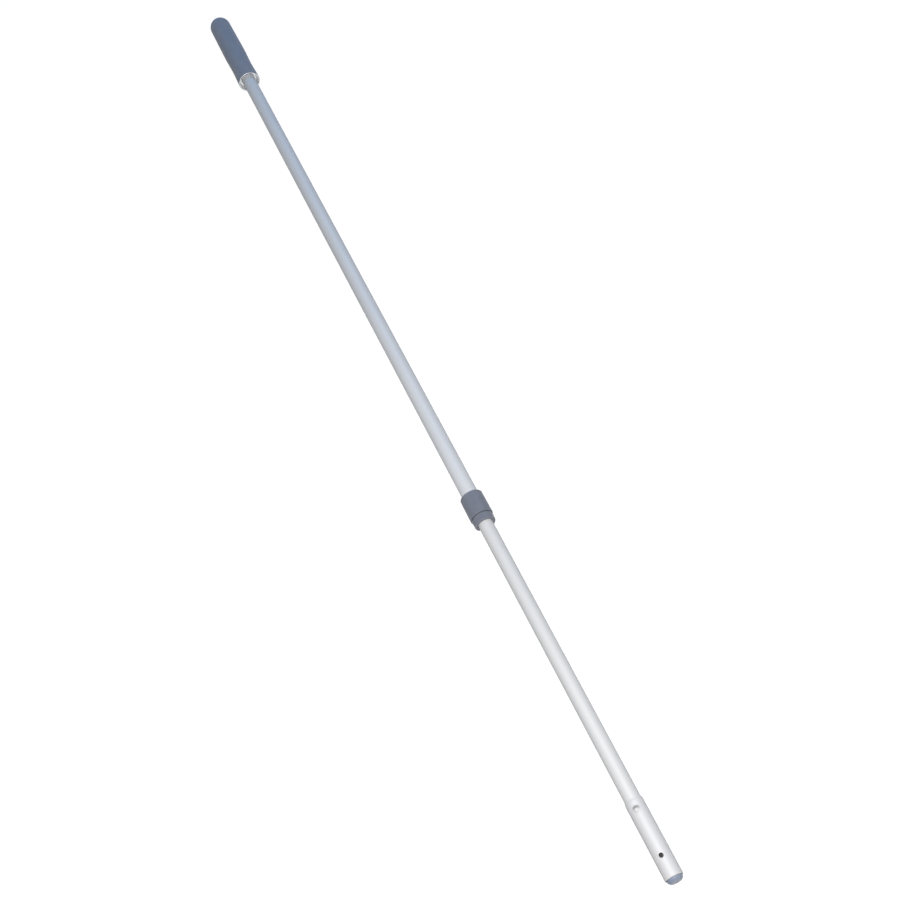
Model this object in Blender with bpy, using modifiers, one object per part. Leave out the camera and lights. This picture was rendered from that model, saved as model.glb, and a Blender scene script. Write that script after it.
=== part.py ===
"""Telescopic window cleaning pole: two aluminium tubes with a twist lock between them.

The pole lies along X, with its grip towards -X and its tool spigot towards +X. The origin is under the middle of
the pole, on the surface that it lies on. All sizes are in metres.

Three empties on the pole's axis carry what moves: lock_carrier slides with the lock sleeve, inner_section turns
on it with the inner tube, and cone_carrier slides along the stud.
"""

import math

import bmesh
import bpy
from mathutils import Matrix

# Facets round the turned pieces, and the air left between pieces.
SIDES = 32  # round every piece that is turned about the pole's axis
PIN_SIDES = 16  # round rivets, cross pins and the holes for them
SHARP_ANGLE = math.radians(25)  # between two faces, from where their edge shows
FIT_GAP = 0.0003  # between pieces that are pressed, bonded or seated
RUN_GAP = 0.00015  # between pieces that turn or slide on each other
PIN_GAP = 0.0002  # round pins, studs and rivets in their holes

# Outer tube, with a plug in its upper end.
OUTER_TUBE_DIAMETER = 0.0230
OUTER_TUBE_WALL = 0.0010
OUTER_TUBE_LENGTH = 1.1660
BUTT_FLANGE_LENGTH = 0.0030
BUTT_SPIGOT_LENGTH = 0.0250
BUTT_PLUG_WALL = 0.0020

# Grip: a thick sleeve, domed and closed at the top, on three spacer rings.
GRIP_LENGTH = 0.1940
GRIP_TOP_DIAMETER = 0.0374
GRIP_BELLY_DIAMETER = 0.0384
GRIP_WAIST_DIAMETER = 0.0366
GRIP_LIP_DIAMETER = 0.0384
GRIP_BELLY_FROM_MOUTH = 0.0855
GRIP_WAIST_FROM_MOUTH = 0.0420
GRIP_BORE_DIAMETER = 0.0320
GRIP_END_WALL = 0.0165
GRIP_LIP_WALL = 0.0010
GRIP_LIP_DEPTH = 0.0100
GRIP_ARC_STEPS = 8  # chords from the dome's pole to its base
GRIP_BLEND_STEPS = 4  # chords from one named diameter to the next
SPACER_LENGTH = 0.0160
FRONT_RING_DEPTH = 0.0090  # of its face below the grip's mouth
FRONT_CUP_WALL = 0.0008
FRONT_FLANGE_DIAMETER = 0.0378
FRONT_FLANGE_THICKNESS = 0.0008
FRONT_FLANGE_EDGE = 0.0003

# Collar, and the flanged bush and wiper ring under it.
COLLAR_LENGTH = 0.0351
COLLAR_SEAT = 0.0225  # how much of the collar is on the tube
COLLAR_TOP_DIAMETER = 0.0316
COLLAR_LOWER_DIAMETER = 0.0320
COLLAR_TOP_EDGE = 0.0012  # radius of the edge round its top
COLLAR_LOWER_BORE = 0.0262
WIPER_THICKNESS = 0.0022
WIPER_GAP = 0.0002  # round the inner tube
BUSH_FLANGE_LENGTH = 0.0113
BUSH_FLANGE_DIAMETER = 0.0300
BUSH_LOWER_DIAMETER = 0.0290
BUSH_NECK_DIAMETER = 0.0270
BUSH_NECK_LENGTH = 0.0016
BUSH_END_DIAMETER = 0.0280
BUSH_END_CHAMFER = 0.0005
BUSH_LEAD_IN = 0.0008

# Inner tube.
INNER_TUBE_DIAMETER = 0.0200
INNER_TUBE_WALL = 0.0010
INNER_TUBE_LENGTH = 1.1300
REST_REACH = 0.3987  # inner tube that shows between the bush and the tip sleeve

# Tip sleeve, its rivets and end plug.
TIP_SLEEVE_DIAMETER = 0.0222
TIP_SLEEVE_LENGTH = 0.0925
TIP_SLEEVE_OVERLAP = 0.0550  # how much of it is on the inner tube
TIP_TAPER_LENGTH = 0.0045
TIP_TAPER_EDGE = 0.0003
TIP_ROLL_LENGTH = 0.0010
TIP_ROLL_DIAMETER = 0.0206
BUTTON_HOLE_DIAMETER = 0.0055
BUTTON_HOLE_FROM_END = 0.0247
RIVET_FROM_END = 0.0792
RIVET_HEAD_DIAMETER = 0.0060
RIVET_HEAD_HEIGHT = 0.0013
RIVET_HEAD_RIM = 0.0003
RIVET_ARC_STEPS = 3  # chords from the head's top to its rim
RIVET_SHANK_DIAMETER = 0.0032
RIVET_TAIL_DIAMETER = 0.0048
RIVET_TAIL_LENGTH = 0.0012
TIP_PLUG_HEAD_DIAMETER = 0.0188
TIP_PLUG_HEAD_LENGTH = 0.0048
TIP_PLUG_CHAMFER = 0.0026
TIP_PLUG_SPIGOT_LENGTH = 0.0110
TIP_PLUG_WALL = 0.0018

# Twist lock, from the inner tube's end towards the grip.
PLUG_SPIGOT_LENGTH = 0.0360
PLUG_SHOULDER_LENGTH = 0.0040
PLUG_NECK_DIAMETER = 0.0130
PLUG_NECK_LENGTH = 0.0040
PLUG_HEAD_DIAMETER = 0.0160
PLUG_HEAD_LENGTH = 0.0030
PLUG_PIN_DIAMETER = 0.0030
PLUG_PIN_FROM_END = 0.0180
STUD_DIAMETER = 0.0080
STUD_IN_TUBE = 0.0300
STUD_CHAMFER = 0.0008
SLEEVE_LENGTH = 0.0415
SLEEVE_THROAT_FROM_HEAD = 0.0050
SLEEVE_THROAT_DIAMETER = 0.0144
SLEEVE_MOUTH_DIAMETER = 0.0188
SLEEVE_SLOT_WIDTH = 0.0024
SLEEVE_SLOT_LENGTH = 0.0335
SLEEVE_SLOTS = 4
DRAG_RING_WIDTH = 0.0020
DRAG_RING_DEPTH = 0.0009
DRAG_RING_FROM_START = 0.0050
DRAG_RING_RUN_GAP = 0.0001
CONE_LENGTH = 0.0240
CONE_FROM_MOUTH = 0.0020
CONE_KEY_LENGTH = 0.0100
CONE_KEY_SETBACK = 0.0010
CONE_TRAVEL = 0.0020  # for half a turn of the coarse thread
WASHER_DIAMETER = 0.0160
WASHER_THICKNESS = 0.0016
NUT_ACROSS_FLATS = 0.0130
NUT_THICKNESS = 0.0065
STUD_PAST_NUT = 0.0015

# Finishes: linear colour, roughness and metallic share.
BLUE_ANODISED = ((0.62, 0.68, 0.76), 0.38, 0.9)
BRIGHT_ANODISED = ((0.78, 0.80, 0.83), 0.34, 0.9)
SPIGOT_METAL = ((0.82, 0.83, 0.85), 0.32, 0.9)
GRIP_RUBBER = ((0.14, 0.17, 0.23), 0.60, 0.0)
PALE_PLASTIC = ((0.84, 0.85, 0.84), 0.55, 0.0)
GREY_PLASTIC = ((0.19, 0.21, 0.26), 0.45, 0.0)
PLUG_PLASTIC = ((0.28, 0.33, 0.44), 0.42, 0.0)
BLACK_RUBBER = ((0.03, 0.03, 0.03), 0.70, 0.0)
NATURAL_NYLON = ((0.80, 0.79, 0.73), 0.50, 0.0)
ZINC_STEEL = ((0.66, 0.66, 0.65), 0.35, 1.0)

# Radii that follow.
OUTER_BORE = OUTER_TUBE_DIAMETER / 2 - OUTER_TUBE_WALL
INNER_BORE = INNER_TUBE_DIAMETER / 2 - INNER_TUBE_WALL
TIP_BORE = INNER_TUBE_DIAMETER / 2 + FIT_GAP
SHOULDER_RADIUS = OUTER_BORE - RUN_GAP
STUD_HOLE = STUD_DIAMETER / 2 + PIN_GAP
PIN_HOLE = PLUG_PIN_DIAMETER / 2 + PIN_GAP
ALONG_POLE = Matrix.Rotation(math.pi / 2, 4, "Y")  # takes local +Z to the pole's +X
FLAT = math.cos(math.pi / SIDES)  # a facet's distance from the axis, as a share of its corners'
AXIS_HEIGHT = GRIP_BELLY_DIAMETER / 2 * FLAT

# Places along X. Those of the outer section count from the grip's end.
OVERALL_LENGTH = (
    GRIP_END_WALL + FIT_GAP + BUTT_FLANGE_LENGTH + FIT_GAP + OUTER_TUBE_LENGTH - COLLAR_SEAT
    + COLLAR_LENGTH + FIT_GAP + BUSH_FLANGE_LENGTH + REST_REACH + TIP_SLEEVE_LENGTH + TIP_PLUG_HEAD_LENGTH
)
GRIP_END_X = -OVERALL_LENGTH / 2
GRIP_MOUTH_X = GRIP_END_X + GRIP_LENGTH
BUTT_X = GRIP_END_X + GRIP_END_WALL + FIT_GAP
OUTER_TUBE_X = BUTT_X + BUTT_FLANGE_LENGTH + FIT_GAP
OUTER_TUBE_END_X = OUTER_TUBE_X + OUTER_TUBE_LENGTH
COLLAR_X = OUTER_TUBE_END_X - COLLAR_SEAT
COLLAR_END_X = COLLAR_X + COLLAR_LENGTH
WIPER_X = OUTER_TUBE_END_X + FIT_GAP
BUSH_X = WIPER_X + WIPER_THICKNESS + FIT_GAP
BUSH_FLANGE_X = COLLAR_END_X + FIT_GAP
BUSH_END_X = BUSH_FLANGE_X + BUSH_FLANGE_LENGTH
TIP_SLEEVE_X = BUSH_END_X + REST_REACH
TIP_SLEEVE_END_X = TIP_SLEEVE_X + TIP_SLEEVE_LENGTH
INNER_TUBE_X = TIP_SLEEVE_X + TIP_SLEEVE_OVERLAP - INNER_TUBE_LENGTH
SHOULDER_X = INNER_TUBE_X - FIT_GAP - PLUG_SHOULDER_LENGTH
PLUG_HEAD_X = SHOULDER_X - PLUG_NECK_LENGTH - PLUG_HEAD_LENGTH
SLEEVE_X = SHOULDER_X - FIT_GAP - SLEEVE_LENGTH
CONE_X = SLEEVE_X + CONE_FROM_MOUTH
WASHER_X = SLEEVE_X - CONE_TRAVEL - WASHER_THICKNESS
NUT_X = WASHER_X - FIT_GAP - NUT_THICKNESS
STUD_X = NUT_X - STUD_PAST_NUT

# The limits of the sliding joint, from the same places.
STOP_MARGIN = 0.0020
EXTEND_MIN = -(REST_REACH - STOP_MARGIN)
EXTEND_MAX = WIPER_X - INNER_TUBE_X - STOP_MARGIN


def clear_scene():
    """Remove every object, so that the script can be run again in the same file."""
    for obj in list(bpy.data.objects):
        bpy.data.objects.remove(obj, do_unlink=True)


def make_collection(name, hidden=False):
    """A collection under the scene's own, left out of renders when it holds helpers."""
    made = bpy.data.collections.new(name)
    bpy.context.scene.collection.children.link(made)
    made.hide_render = hidden
    return made


def make_material(name, finish):
    """A piece's own Principled material, from a finish of (colour, roughness, metallic)."""
    colour, roughness, metallic = finish
    made = bpy.data.materials.new(name)
    made.use_nodes = True
    shader = made.node_tree.nodes["Principled BSDF"]
    shader.inputs["Base Color"].default_value = (*colour, 1.0)
    shader.inputs["Roughness"].default_value = roughness
    shader.inputs["Metallic"].default_value = metallic
    made.diffuse_color = (*colour, 1.0)
    return made


def make_empty(name, x, parent=None):
    """An empty on the pole's axis, which marks a joint and carries its pieces."""
    made = bpy.data.objects.new(name, None)
    made.empty_display_size = 0.03
    parts.objects.link(made)
    place(made, x, parent)
    return made


def place(obj, x, parent, turn=None):
    """Put an object on the pole's axis at x, turned by a matrix, and hang it on its parent."""
    if parent:
        obj.parent = parent
        x -= parent.location.x + (parent.parent.location.x if parent.parent else 0)
    height = 0.0 if parent else AXIS_HEIGHT
    obj.matrix_local = Matrix.Translation((x, 0.0, height)) @ (turn or Matrix.Identity(4))


def blend(start, end, steps):
    """Points of an S-shaped run between two (radius, station) points, without the start."""
    run = []
    for step in range(1, steps + 1):
        share = step / steps
        smooth = share * share * (3 - 2 * share)
        run.append((start[0] + (end[0] - start[0]) * smooth, start[1] + (end[1] - start[1]) * share))
    return run


def profile_mesh(name, profile, sides):
    """A mesh that holds one profile of (radius, station) points, half a facet off local +X.

    The outer side comes first and runs towards lower stations. A profile that starts and ends on the axis is
    left open there, and any other is closed into a loop.
    """
    half = math.pi / sides
    mesh = bpy.data.meshes.new(name)
    points = [(radius * math.cos(half), radius * math.sin(half), station) for radius, station in profile]
    edges = [(i, i + 1) for i in range(len(points) - 1)]
    if profile[0][0] > 0 or profile[-1][0] > 0:
        edges.append((len(points) - 1, 0))
    mesh.from_pydata(points, edges, [])
    return mesh


def turned(name, profile, x, finish, parent, turn=ALONG_POLE, sides=SIDES):
    """A turned piece, with its stations counted from x. It lies along the pole unless turn says otherwise."""
    made = bpy.data.objects.new(name, profile_mesh(name, profile, sides))
    parts.objects.link(made)
    screw = made.modifiers.new("turn", "SCREW")
    screw.axis = "Z"
    screw.angle = 2 * math.pi
    screw.steps = sides
    screw.render_steps = sides
    screw.use_merge_vertices = True
    screw.merge_threshold = 0.00001
    made.data = bpy.data.meshes.new_from_object(made.evaluated_get(bpy.context.evaluated_depsgraph_get()))
    made.modifiers.clear()
    made.data.name = name
    made.data.materials.append(make_material(name, finish))
    shade_round(made.data)
    place(made, x, parent, turn)
    return made


def shade_round(mesh):
    """Shade a mesh smooth, with sharp edges kept sharp."""
    mesh.shade_smooth()
    mesh.set_sharp_from_angle(angle=SHARP_ANGLE)


def round_bar(name, radius, low, high, x, finish, parent, across="Z", collection=None, sides=PIN_SIDES):
    """A plain round bar across the pole, from low to high along Z or Y, at x."""
    shape = bmesh.new()
    turn = Matrix.Identity(4) if across == "Z" else Matrix.Rotation(math.pi / 2, 4, "X")
    middle = Matrix.Translation((0, 0, (low + high) / 2))
    bmesh.ops.create_cone(
        shape, cap_ends=True, segments=sides, radius1=radius, radius2=radius, depth=high - low,
        matrix=turn @ middle,
    )
    return finish_mesh(name, shape, x, finish, parent, collection)


def block(name, size, centre, x, turn, finish, parent, collection=None):
    """A box of the given size about centre, turned round the pole's axis by an angle."""
    shape = bmesh.new()
    matrix = Matrix.Rotation(turn, 4, "X") @ Matrix.Translation(centre) @ Matrix.Diagonal((*size, 1.0))
    bmesh.ops.create_cube(shape, size=1.0, matrix=matrix)
    return finish_mesh(name, shape, x, finish, parent, collection)


def finish_mesh(name, shape, x, finish, parent, collection=None):
    """Turn a bmesh into an object of the parts, or of the collection of helpers."""
    mesh = bpy.data.meshes.new(name)
    shape.to_mesh(mesh)
    shape.free()
    made = bpy.data.objects.new(name, mesh)
    (collection or parts).objects.link(made)
    if finish:
        mesh.materials.append(make_material(name, finish))
    if collection:
        made.hide_render = True
        made.display_type = "WIRE"
    place(made, x, parent)
    return made


def combine(target, helper, operation="DIFFERENCE"):
    """Add an exact Boolean of the helper to the target."""
    made = target.modifiers.new(helper.name, "BOOLEAN")
    made.operation = operation
    made.solver = "EXACT"
    made.object = helper


def cross_hole(target, radius, low, high, x, parent, across="Z", sides=PIN_SIDES):
    """Bore a round hole across the pole through one or both walls of a target."""
    name = f"{target.name}_hole_{len(target.modifiers)}"
    combine(target, round_bar(name, radius, low, high, x, None, parent, across, helpers, sides))


def make_outer_tube(finish):
    """The upper tube: a plain tube that everything of the outer section sits on."""
    outside = OUTER_TUBE_DIAMETER / 2
    profile = [(outside, OUTER_TUBE_LENGTH), (outside, 0), (OUTER_BORE, 0), (OUTER_BORE, OUTER_TUBE_LENGTH)]
    turned("outer_tube", profile, OUTER_TUBE_X, finish, None)


def make_butt_plug(finish):
    """The plug that closes the outer tube inside the grip: a flange and a hollow spigot."""
    flange = OUTER_TUBE_DIAMETER / 2
    spigot = OUTER_BORE - FIT_GAP
    end = BUTT_FLANGE_LENGTH + BUTT_SPIGOT_LENGTH
    profile = [
        (0, BUTT_FLANGE_LENGTH),
        (spigot - BUTT_PLUG_WALL, BUTT_FLANGE_LENGTH),
        (spigot - BUTT_PLUG_WALL, end),
        (spigot, end),
        (spigot, BUTT_FLANGE_LENGTH),
        (flange, BUTT_FLANGE_LENGTH),
        (flange, 0),
        (0, 0),
    ]
    turned("butt_plug", profile, BUTT_X, finish, None)


def grip_outline():
    """The grip's outside from its mouth to the dome's pole, as (radius, station) points."""
    lip = (GRIP_LIP_DIAMETER / 2, GRIP_LENGTH)
    waist = (GRIP_WAIST_DIAMETER / 2, GRIP_LENGTH - GRIP_WAIST_FROM_MOUTH)
    belly = (GRIP_BELLY_DIAMETER / 2, GRIP_LENGTH - GRIP_BELLY_FROM_MOUTH)
    radius = GRIP_TOP_DIAMETER / 2
    base = (radius, radius)
    points = [lip]
    points += blend(lip, waist, GRIP_BLEND_STEPS)
    points += blend(waist, belly, GRIP_BLEND_STEPS)
    points += blend(belly, base, GRIP_BLEND_STEPS)
    for step in range(1, GRIP_ARC_STEPS + 1):
        angle = math.pi / 2 * step / GRIP_ARC_STEPS
        points.append((max(radius * math.cos(angle), 0.0), radius * (1 - math.sin(angle))))
    points[-1] = (0.0, 0.0)
    return points


def make_grip(finish):
    """The rubber grip: a contoured sleeve with a solid dome and a thin flared lip."""
    bore = GRIP_BORE_DIAMETER / 2
    lip_bore = GRIP_LIP_DIAMETER / 2 - GRIP_LIP_WALL
    inside = [
        (0.0, GRIP_END_WALL),
        (bore, GRIP_END_WALL),
        (bore, GRIP_LENGTH - GRIP_LIP_DEPTH),
        (lip_bore, GRIP_LENGTH),
    ]
    turned("grip", inside + grip_outline(), GRIP_END_X, finish, None)


def make_grip_spacers(finish):
    """Three rings between tube and grip. The front one carries a cup that lines the flare and covers the lip."""
    inner = OUTER_TUBE_DIAMETER / 2 + FIT_GAP
    outer = GRIP_BORE_DIAMETER / 2 - FIT_GAP
    ring = [(outer, SPACER_LENGTH), (outer, 0), (inner, 0), (inner, SPACER_LENGTH)]
    rear_x = OUTER_TUBE_X
    front_x = GRIP_MOUTH_X - FRONT_RING_DEPTH - SPACER_LENGTH
    turned("grip_spacer_rear", ring, rear_x, finish, None)
    turned("grip_spacer_middle", ring, (rear_x + front_x) / 2, finish, None)
    # The cup follows the flare, whose slope is that of the lip's bore.
    slope = (GRIP_LIP_DIAMETER / 2 - GRIP_LIP_WALL - GRIP_BORE_DIAMETER / 2) / GRIP_LIP_DEPTH
    flare = GRIP_MOUTH_X - GRIP_LIP_DEPTH - front_x
    seat = GRIP_MOUTH_X + FIT_GAP - front_x
    end = seat + FRONT_FLANGE_THICKNESS
    flange = FRONT_FLANGE_DIAMETER / 2
    cup_end = outer + slope * (end - flare) - FRONT_CUP_WALL
    cup_floor = outer + slope * (SPACER_LENGTH - flare) - FRONT_CUP_WALL
    profile = [
        (flange - FRONT_FLANGE_EDGE, end),
        (flange, end - FRONT_FLANGE_EDGE),
        (flange, seat),
        (outer + slope * (seat - flare), seat),
        (outer, flare),
        (outer, 0),
        (inner, 0),
        (inner, SPACER_LENGTH),
        (cup_floor, SPACER_LENGTH),
        (cup_end, end),
    ]
    turned("grip_spacer_front", profile, front_x, finish, None)


def make_collar(finish):
    """The collar: a rounded top edge, a body with a little draft, and a counterbore for the bush."""
    full = COLLAR_TOP_DIAMETER / 2
    seat_bore = OUTER_TUBE_DIAMETER / 2 + FIT_GAP
    corner = COLLAR_TOP_EDGE * (1 - math.sqrt(0.5))
    profile = [
        (COLLAR_LOWER_DIAMETER / 2, COLLAR_LENGTH),
        (full, COLLAR_TOP_EDGE),
        (full - corner, corner),
        (full - COLLAR_TOP_EDGE, 0),
        (seat_bore, 0),
        (seat_bore, COLLAR_SEAT),
        (COLLAR_LOWER_BORE / 2, COLLAR_SEAT),
        (COLLAR_LOWER_BORE / 2, COLLAR_LENGTH),
    ]
    turned("collar", profile, COLLAR_X, finish, None)


def make_guide_bush(finish):
    """The flanged bush: a spigot in the collar, a narrow neck that shows as a groove, and a tapered flange."""
    bore = INNER_TUBE_DIAMETER / 2 + RUN_GAP
    spigot = COLLAR_LOWER_BORE / 2 - FIT_GAP
    flange_start = BUSH_FLANGE_X - BUSH_X
    end = BUSH_END_X - BUSH_X
    profile = [
        (BUSH_END_DIAMETER / 2, end),
        (BUSH_LOWER_DIAMETER / 2, end - BUSH_END_CHAMFER),
        (BUSH_FLANGE_DIAMETER / 2, flange_start + BUSH_NECK_LENGTH),
        (BUSH_NECK_DIAMETER / 2, flange_start + BUSH_NECK_LENGTH),
        (BUSH_NECK_DIAMETER / 2, flange_start),
        (spigot, flange_start),
        (spigot, 0),
        (bore, 0),
        (bore, end - BUSH_LEAD_IN),
        (bore + BUSH_LEAD_IN, end),
    ]
    turned("guide_bush", profile, BUSH_X, finish, None)


def make_wiper_ring(finish):
    """The rubber ring that is trapped between the outer tube's end and the bush."""
    outer = COLLAR_LOWER_BORE / 2 - FIT_GAP
    inner = INNER_TUBE_DIAMETER / 2 + WIPER_GAP
    profile = [(outer, WIPER_THICKNESS), (outer, 0), (inner, 0), (inner, WIPER_THICKNESS)]
    turned("wiper_ring", profile, WIPER_X, finish, None)


def sleeve_bore(x):
    """The radius of the lock sleeve's taper at a place along X."""
    throat_x = PLUG_HEAD_X - SLEEVE_THROAT_FROM_HEAD
    share = (throat_x - x) / (throat_x - SLEEVE_X)
    return (SLEEVE_THROAT_DIAMETER + (SLEEVE_MOUTH_DIAMETER - SLEEVE_THROAT_DIAMETER) * share) / 2


def make_lock_sleeve(finish, parent):
    """The split sleeve: a rib that is caught behind the plug's head, a tapered bore and slots from its open end."""
    neck_bore = PLUG_NECK_DIAMETER / 2 + FIT_GAP
    head_bore = PLUG_HEAD_DIAMETER / 2 + FIT_GAP
    rib_end = SHOULDER_X - PLUG_NECK_LENGTH + FIT_GAP - SLEEVE_X
    head_end = PLUG_HEAD_X - FIT_GAP - SLEEVE_X
    throat = PLUG_HEAD_X - SLEEVE_THROAT_FROM_HEAD - SLEEVE_X
    groove_high = SLEEVE_LENGTH - DRAG_RING_FROM_START
    groove_low = groove_high - DRAG_RING_WIDTH - 2 * PIN_GAP
    groove = SHOULDER_RADIUS - DRAG_RING_DEPTH
    profile = [
        (SHOULDER_RADIUS, SLEEVE_LENGTH),
        (SHOULDER_RADIUS, groove_high),
        (groove, groove_high),
        (groove, groove_low),
        (SHOULDER_RADIUS, groove_low),
        (SHOULDER_RADIUS, 0),
        (SLEEVE_MOUTH_DIAMETER / 2, 0),
        (SLEEVE_THROAT_DIAMETER / 2, throat),
        (head_bore, head_end),
        (head_bore, rib_end),
        (neck_bore, rib_end),
        (neck_bore, SLEEVE_LENGTH),
    ]
    sleeve = turned("lock_sleeve", profile, SLEEVE_X, finish, parent)
    reach = OUTER_TUBE_DIAMETER / 2
    for index in range(SLEEVE_SLOTS):
        size = (2 * SLEEVE_SLOT_LENGTH, SLEEVE_SLOT_WIDTH, reach)
        turn = 2 * math.pi * index / SLEEVE_SLOTS
        name = f"sleeve_slot_{index + 1}"
        cutter = block(name, size, (0, 0, reach / 2), SLEEVE_X, turn, None, parent, helpers)
        combine(sleeve, cutter)


def make_drag_ring(finish, parent):
    """The rubber ring in the sleeve's groove."""
    inner = SHOULDER_RADIUS - DRAG_RING_DEPTH + PIN_GAP
    outer = OUTER_BORE - DRAG_RING_RUN_GAP
    x = SLEEVE_X + SLEEVE_LENGTH - DRAG_RING_FROM_START - PIN_GAP - DRAG_RING_WIDTH
    profile = [(outer, DRAG_RING_WIDTH), (outer, 0), (inner, 0), (inner, DRAG_RING_WIDTH)]
    turned("drag_ring", profile, x, finish, parent)


def make_lock_cone(finish, parent):
    """The taper nut that spreads the sleeve, with keys that run in the sleeve's slots."""
    wide = sleeve_bore(CONE_X) - FIT_GAP
    narrow = sleeve_bore(CONE_X + CONE_LENGTH) - FIT_GAP
    profile = [(narrow, CONE_LENGTH), (wide, 0), (STUD_HOLE, 0), (STUD_HOLE, CONE_LENGTH)]
    cone = turned("lock_cone", profile, CONE_X, finish, parent)
    root = STUD_HOLE + PIN_GAP
    tip = SHOULDER_RADIUS - FIT_GAP
    size = (CONE_KEY_LENGTH, SLEEVE_SLOT_WIDTH - 2 * FIT_GAP, tip - root)
    for index in range(SLEEVE_SLOTS):
        turn = 2 * math.pi * index / SLEEVE_SLOTS
        centre = (CONE_KEY_SETBACK + CONE_KEY_LENGTH / 2, 0, (root + tip) / 2)
        key = block(f"cone_key_{index + 1}", size, centre, CONE_X, turn, None, parent, helpers)
        combine(cone, key, "UNION")


def make_lock_plug(finish, parent):
    """The moulded plug in the inner tube: spigot, stop shoulder, neck and head, bored for the stud."""
    spigot = INNER_BORE - FIT_GAP
    shoulder = PLUG_HEAD_LENGTH + PLUG_NECK_LENGTH
    end = shoulder + PLUG_SHOULDER_LENGTH + FIT_GAP + PLUG_SPIGOT_LENGTH
    profile = [
        (spigot, end),
        (spigot, shoulder + PLUG_SHOULDER_LENGTH),
        (SHOULDER_RADIUS, shoulder + PLUG_SHOULDER_LENGTH),
        (SHOULDER_RADIUS, shoulder),
        (PLUG_NECK_DIAMETER / 2, shoulder),
        (PLUG_NECK_DIAMETER / 2, PLUG_HEAD_LENGTH),
        (PLUG_HEAD_DIAMETER / 2, PLUG_HEAD_LENGTH),
        (PLUG_HEAD_DIAMETER / 2, 0),
        (STUD_HOLE, 0),
        (STUD_HOLE, end),
    ]
    plug = turned("lock_plug", profile, PLUG_HEAD_X, finish, parent)
    cross_hole(plug, PIN_HOLE, -OUTER_BORE, OUTER_BORE, INNER_TUBE_X + PLUG_PIN_FROM_END, parent, "Y")


def make_lock_stud(finish, parent):
    """The coarse stud, which the cone travels on, with a chamfer at each end."""
    length = INNER_TUBE_X + STUD_IN_TUBE - STUD_X
    radius = STUD_DIAMETER / 2
    tip = radius - STUD_CHAMFER
    profile = [
        (0, length),
        (tip, length),
        (radius, length - STUD_CHAMFER),
        (radius, STUD_CHAMFER),
        (tip, 0),
        (0, 0),
    ]
    stud = turned("lock_stud", profile, STUD_X, finish, parent)
    cross_hole(stud, PIN_HOLE, -OUTER_BORE, OUTER_BORE, INNER_TUBE_X + PLUG_PIN_FROM_END, parent, "Y")


def make_plug_pin(finish, parent):
    """The cross pin through tube, plug and stud. It stays below the tube's surface."""
    reach = INNER_TUBE_DIAMETER / 2 * FLAT - PIN_GAP
    x = INNER_TUBE_X + PLUG_PIN_FROM_END
    round_bar("plug_pin", PLUG_PIN_DIAMETER / 2, -reach, reach, x, finish, parent, "Y")


def make_stud_washer(finish, parent):
    """The washer that stops the cone at the end of its travel."""
    outer = WASHER_DIAMETER / 2
    profile = [(outer, WASHER_THICKNESS), (outer, 0), (STUD_HOLE, 0), (STUD_HOLE, WASHER_THICKNESS)]
    turned("stud_washer", profile, WASHER_X, finish, parent)


def make_stud_nut(finish, parent):
    """The hexagon nut at the stud's end."""
    corner = NUT_ACROSS_FLATS / 2 / math.cos(math.pi / 6)
    shape = bmesh.new()
    bmesh.ops.create_cone(
        shape, cap_ends=True, segments=6, radius1=corner, radius2=corner, depth=NUT_THICKNESS,
        matrix=Matrix.Translation((NUT_THICKNESS / 2, 0, 0)) @ ALONG_POLE,
    )
    nut = finish_mesh("stud_nut", shape, NUT_X, finish, parent)
    bore = bmesh.new()
    bmesh.ops.create_cone(
        bore, cap_ends=True, segments=SIDES, radius1=STUD_HOLE, radius2=STUD_HOLE, depth=4 * NUT_THICKNESS,
        matrix=ALONG_POLE,
    )
    combine(nut, finish_mesh("nut_bore", bore, NUT_X, None, parent, helpers))


def make_inner_tube(finish, parent):
    """The lower tube, with holes for the cross pin near its upper end and for the rivets near its lower end."""
    outside = INNER_TUBE_DIAMETER / 2
    profile = [(outside, INNER_TUBE_LENGTH), (outside, 0), (INNER_BORE, 0), (INNER_BORE, INNER_TUBE_LENGTH)]
    tube = turned("inner_tube", profile, INNER_TUBE_X, finish, parent)
    reach = OUTER_TUBE_DIAMETER / 2
    cross_hole(tube, PIN_HOLE, -reach, reach, INNER_TUBE_X + PLUG_PIN_FROM_END, parent, "Y")
    rivet_hole = RIVET_SHANK_DIAMETER / 2 + PIN_GAP
    cross_hole(tube, rivet_hole, -reach, reach, TIP_SLEEVE_END_X - RIVET_FROM_END, parent)


def make_tip_sleeve(finish, parent):
    """The tool spigot: tapered start, rolled end, button hole on top, and a hole for each rivet."""
    outer = TIP_SLEEVE_DIAMETER / 2
    lip_bore = TIP_PLUG_HEAD_DIAMETER / 2 + FIT_GAP
    profile = [
        (TIP_ROLL_DIAMETER / 2, TIP_SLEEVE_LENGTH),
        (outer, TIP_SLEEVE_LENGTH - TIP_ROLL_LENGTH),
        (outer, TIP_TAPER_LENGTH),
        (TIP_BORE + TIP_TAPER_EDGE, 0),
        (TIP_BORE, 0),
        (TIP_BORE, TIP_SLEEVE_LENGTH - TIP_ROLL_LENGTH),
        (lip_bore, TIP_SLEEVE_LENGTH - TIP_ROLL_LENGTH),
        (lip_bore, TIP_SLEEVE_LENGTH),
    ]
    sleeve = turned("tip_sleeve", profile, TIP_SLEEVE_X, finish, parent)
    reach = 2 * outer
    hole_x = TIP_SLEEVE_END_X - BUTTON_HOLE_FROM_END
    cross_hole(sleeve, BUTTON_HOLE_DIAMETER / 2, 0, reach, hole_x, parent, "Z", SIDES)
    rivet_hole = RIVET_SHANK_DIAMETER / 2 + PIN_GAP
    cross_hole(sleeve, rivet_hole, -reach, reach, TIP_SLEEVE_END_X - RIVET_FROM_END, parent)


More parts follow.
